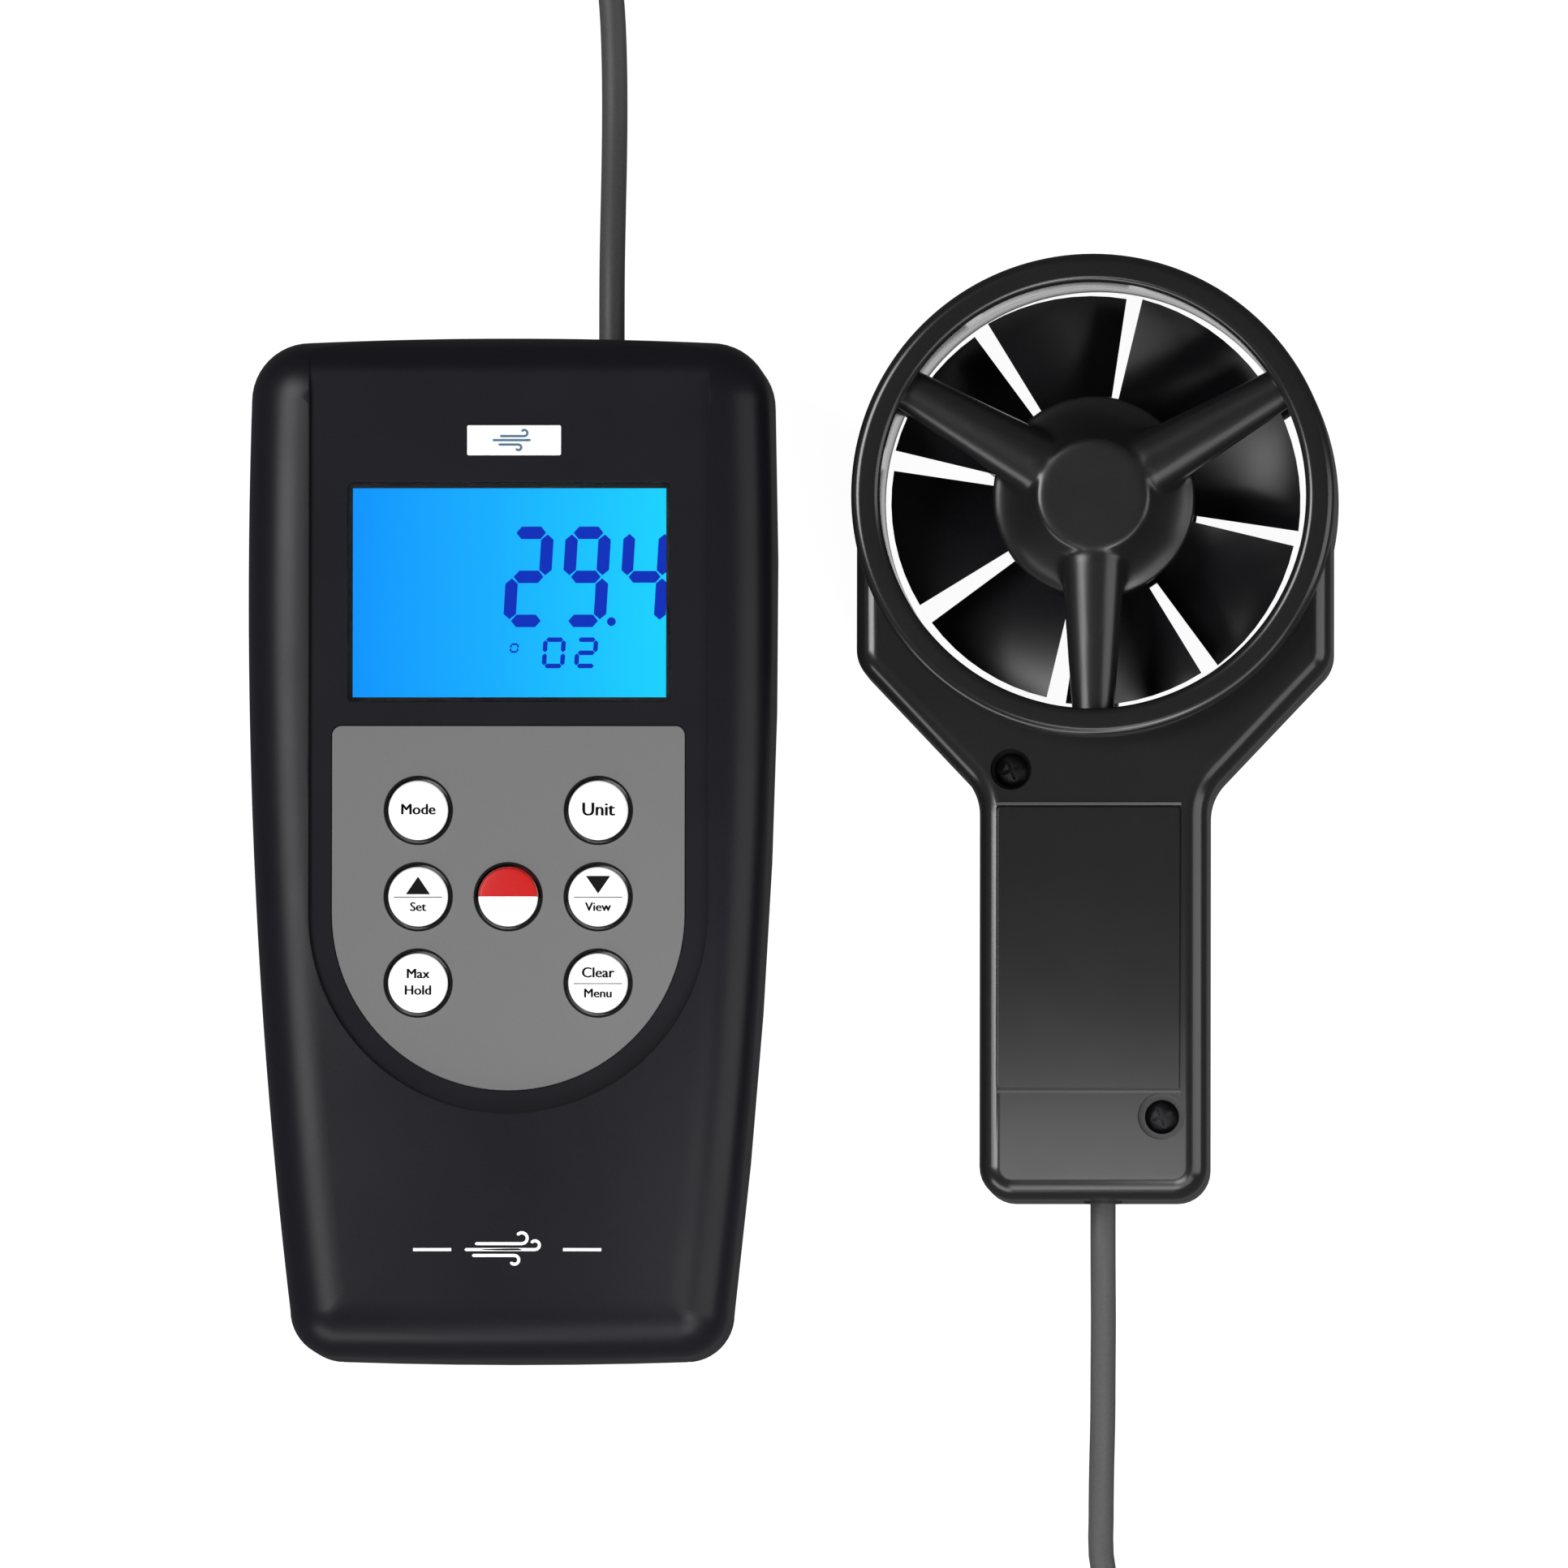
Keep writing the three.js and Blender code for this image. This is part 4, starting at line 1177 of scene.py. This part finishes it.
def make_probe():
    front = join_all("probe_front", [
        half_ring(PROBE_SPLIT, RING_FRONT, "ring"),
        handle_half(PROBE_SPLIT, HANDLE_FRONT, 3.0, "handle"),
    ])
    seat = rectangle(LABEL_LOW.x - 0.2, LABEL_HIGH.x + 0.2, LABEL_LOW.y - 0.2, LABEL_HIGH.y + 0.2, 0.5)
    carve(front, prism("seat", seat, LABEL_LOW.z, HANDLE_FRONT + 2))
    for (x, y), radius in zip(probe_screw_places(), (2.8, 3.2)):
        carve(front, cylinder("well", radius, HANDLE_FRONT - 4.6, HANDLE_FRONT + 3, (x, y), 48))
    smooth(front, 40)
    place(front, "probe", PROBE, "probe_plastic", "probe_front_housing")
    rear = join_all("probe_rear", [
        half_ring(PROBE_SPLIT - 0.3, 0.0, "ring"),
        handle_half(PROBE_SPLIT - 0.3, 0.0, 2.3, "handle"),
    ])
    place(smooth(rear, 40), "probe", PROBE, "probe_plastic", "probe_rear_housing")
    face = [(0, 21.2), (13.4, 21.2), (13.9, 21.6), (13.9, 22.2)]
    for i in range(0, 13):
        t = i / 12
        face.append((13.7 - 6.1 * t, 22.4 + 5.8 * t**1.5))
    face += [(7.0, 28.35), (0, 28.35)]
    place(guard("guard_front", face, 24.5, 25.2), "probe", GUARD, "probe_plastic", "probe_front_housing")
    back = [(r, RING_FRONT - z) for r, z in reversed(face)]
    place(guard("guard_rear", back, 4.7, 4.0), "probe", GUARD, "probe_plastic", "probe_rear_housing")


make_probe()


def make_label():
    plate = prism(
        "label_plate", rectangle(LABEL_LOW.x, LABEL_HIGH.x, LABEL_LOW.y, LABEL_HIGH.y, 0.4),
        LABEL_LOW.z, LABEL_HIGH.z,
    )
    soften(plate, 0.1, 2)
    place(smooth(plate), "probe", PROBE, "probe_plastic", "probe_label")


make_label()


def label_beads():
    """A fine moulded step across the handle at each end of the label, its slope facing the cord."""
    x0, x1 = LABEL_LOW.x - 0.2, LABEL_HIGH.x + 0.2
    beads = []
    for y in (LABEL_LOW.y - 0.45, LABEL_HIGH.y + 0.45):
        section = [(y - 0.2, HANDLE_FRONT), (y + 0.16, HANDLE_FRONT + 0.17), (y + 0.2, HANDLE_FRONT)]
        beads.append(loft("bead", [[(x, v, w) for v, w in section] for x in (x0, x1)]))
    place(smooth(join_all("label_beads", beads), 20), "probe", PROBE, "probe_plastic", "probe_front_housing")


label_beads()


# ---- Vane ----
BLADES = 8
BLADE_SWEEP = 40.0
BLADE_START = 36.5
BLADE_TIP = 27.9
VANE_HUB = 13.1


def blade(start):
    """One thin, helical blade: it rises from its clockwise edge to the other."""
    rows, columns, half_thick = 9, 9, 0.32
    z_low, z_high = WHEEL_LOW.z + 1.1, WHEEL_HIGH.z - 1.1
    upper, lower = [], []
    for i in range(rows):
        radius = VANE_HUB - 0.8 + (BLADE_TIP - VANE_HUB + 0.8) * i / (rows - 1)
        for j in range(columns):
            t = j / (columns - 1)
            angle = math.radians(start + BLADE_SWEEP * t)
            height = z_low + (z_high - z_low) * t
            x, y = PROBE_X + radius * math.cos(angle), PROBE_Y + radius * math.sin(angle)
            place_at = Vector((x, y, height))
            upper.append(place_at + Vector((0, 0, half_thick)))
            lower.append(place_at - Vector((0, 0, half_thick)))
    count = rows * columns
    faces = []
    for i in range(rows - 1):
        for j in range(columns - 1):
            a = i * columns + j
            faces.append((a, a + columns, a + columns + 1, a + 1))
            faces.append((count + a, count + a + 1, count + a + columns + 1, count + a + columns))
    rim = [j for j in range(columns)]
    rim += [i * columns + columns - 1 for i in range(1, rows)]
    rim += [(rows - 1) * columns + j for j in range(columns - 2, -1, -1)]
    rim += [i * columns for i in range(rows - 2, 0, -1)]
    for a, b in zip(rim, rim[1:] + rim[:1]):
        faces.append((a, b, count + b, count + a))
    return mesh_object("blade", upper + lower, faces)


def make_wheel():
    hub_profile = [
        (0.9, WHEEL_LOW.z + 0.2), (VANE_HUB - 0.5, WHEEL_LOW.z + 0.2), (VANE_HUB, WHEEL_LOW.z + 0.7),
        (VANE_HUB, WHEEL_HIGH.z - 0.7), (VANE_HUB - 0.5, WHEEL_HIGH.z - 0.2),
        (VANE_HUB - 1.6, WHEEL_HIGH.z - 0.2), (VANE_HUB - 1.8, WHEEL_HIGH.z - 1.2),
        (3.0, WHEEL_HIGH.z - 1.2), (2.8, WHEEL_HIGH.z), (0.9, WHEEL_HIGH.z),
    ]
    parts = [lathe("hub", hub_profile, (PROBE_X, PROBE_Y), 96)]
    for k in range(BLADES):
        parts.append(blade(BLADE_START + 360 * k / BLADES))
    wheel = join_all("wheel", parts)
    place(smooth(wheel, 40), "vane", VANE, "vane_plastic", "vane_wheel")


make_wheel()


# ---- The remaining nodes: a refined copy where seen from outside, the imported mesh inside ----
def refined(node, body, coat, slot, width):
    copy = bpy.data.objects.new(node + "_fine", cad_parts[node].data.copy())
    scene.collection.objects.link(copy)
    tool = bmesh.new()
    tool.from_mesh(copy.data)
    bmesh.ops.remove_doubles(tool, verts=tool.verts, dist=1e-7)
    tool.to_mesh(copy.data)
    tool.free()
    soften(copy, width, 2, 40)
    return place(smooth(copy, 40), body, coat, slot, node)


refined("rear_shell", "meter", CASE, "case_plastic", 0.12)
refined("battery_cover", "battery_door", CASE, "case_plastic", 0.15)
refined("main_gland", "meter", RUBBER, "soft_rubber", 0.15)
refined("probe_gland", "probe", RUBBER, "soft_rubber", 0.15)
for number in (1, 2, 3, 4):
    refined(f"case_screw_{number}", "meter", SCREW, "plain_steel", 0.12)


def probe_screw(number):
    """A black cross-head screw at the bottom of its well."""
    x, y = probe_screw_places()[number - 1]
    top = HANDLE_FRONT - 3.2
    profile = [
        (0, 5.0), (1.1, 5.0), (1.1, top - 1.3), (2.25, top - 1.3),
        (2.3, top - 0.5), (1.7, top - 0.1), (0, top),
    ]
    screw = lathe("screw", profile, (x, y), 40)
    for turn in (20, 110):
        slot_tool = prism("slot", rectangle(-1.3, 1.3, -0.25, 0.25), top - 0.9, top + 1)
        spin = Matrix.Rotation(math.radians(turn), 4, "Z")
        slot_tool.data.transform(Matrix.Translation(Vector((x, y, 0)) * MM) @ spin)
        carve(screw, slot_tool)
    screw.name = f"probe_screw_{number}_head"
    place(smooth(screw, 35), "probe", SCREW, "plain_steel", f"probe_screw_{number}")


probe_screw(1)
probe_screw(2)

INNER = {
    "window_gasket": FOAM, "lcd_frame": PRINT_WHITE, "zebra_strip": RUBBER, "backlight_panel": PRINT_WHITE,
    "key_mat": RUBBER, "main_board": BOARD, "probe_board": BOARD, "pickup_sensor": RUBBER,
    "battery_1": CELL, "battery_2": CELL, "battery_3": CELL, "battery_4": CELL,
    "battery_contacts_lower": STEEL, "battery_contacts_upper": STEEL,
    "vane_shaft": STEEL, "front_bearing": STEEL, "rear_bearing": STEEL,
}
for node, coat in INNER.items():
    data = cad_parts[node].data
    data.materials.clear()
    data.materials.append(coat)
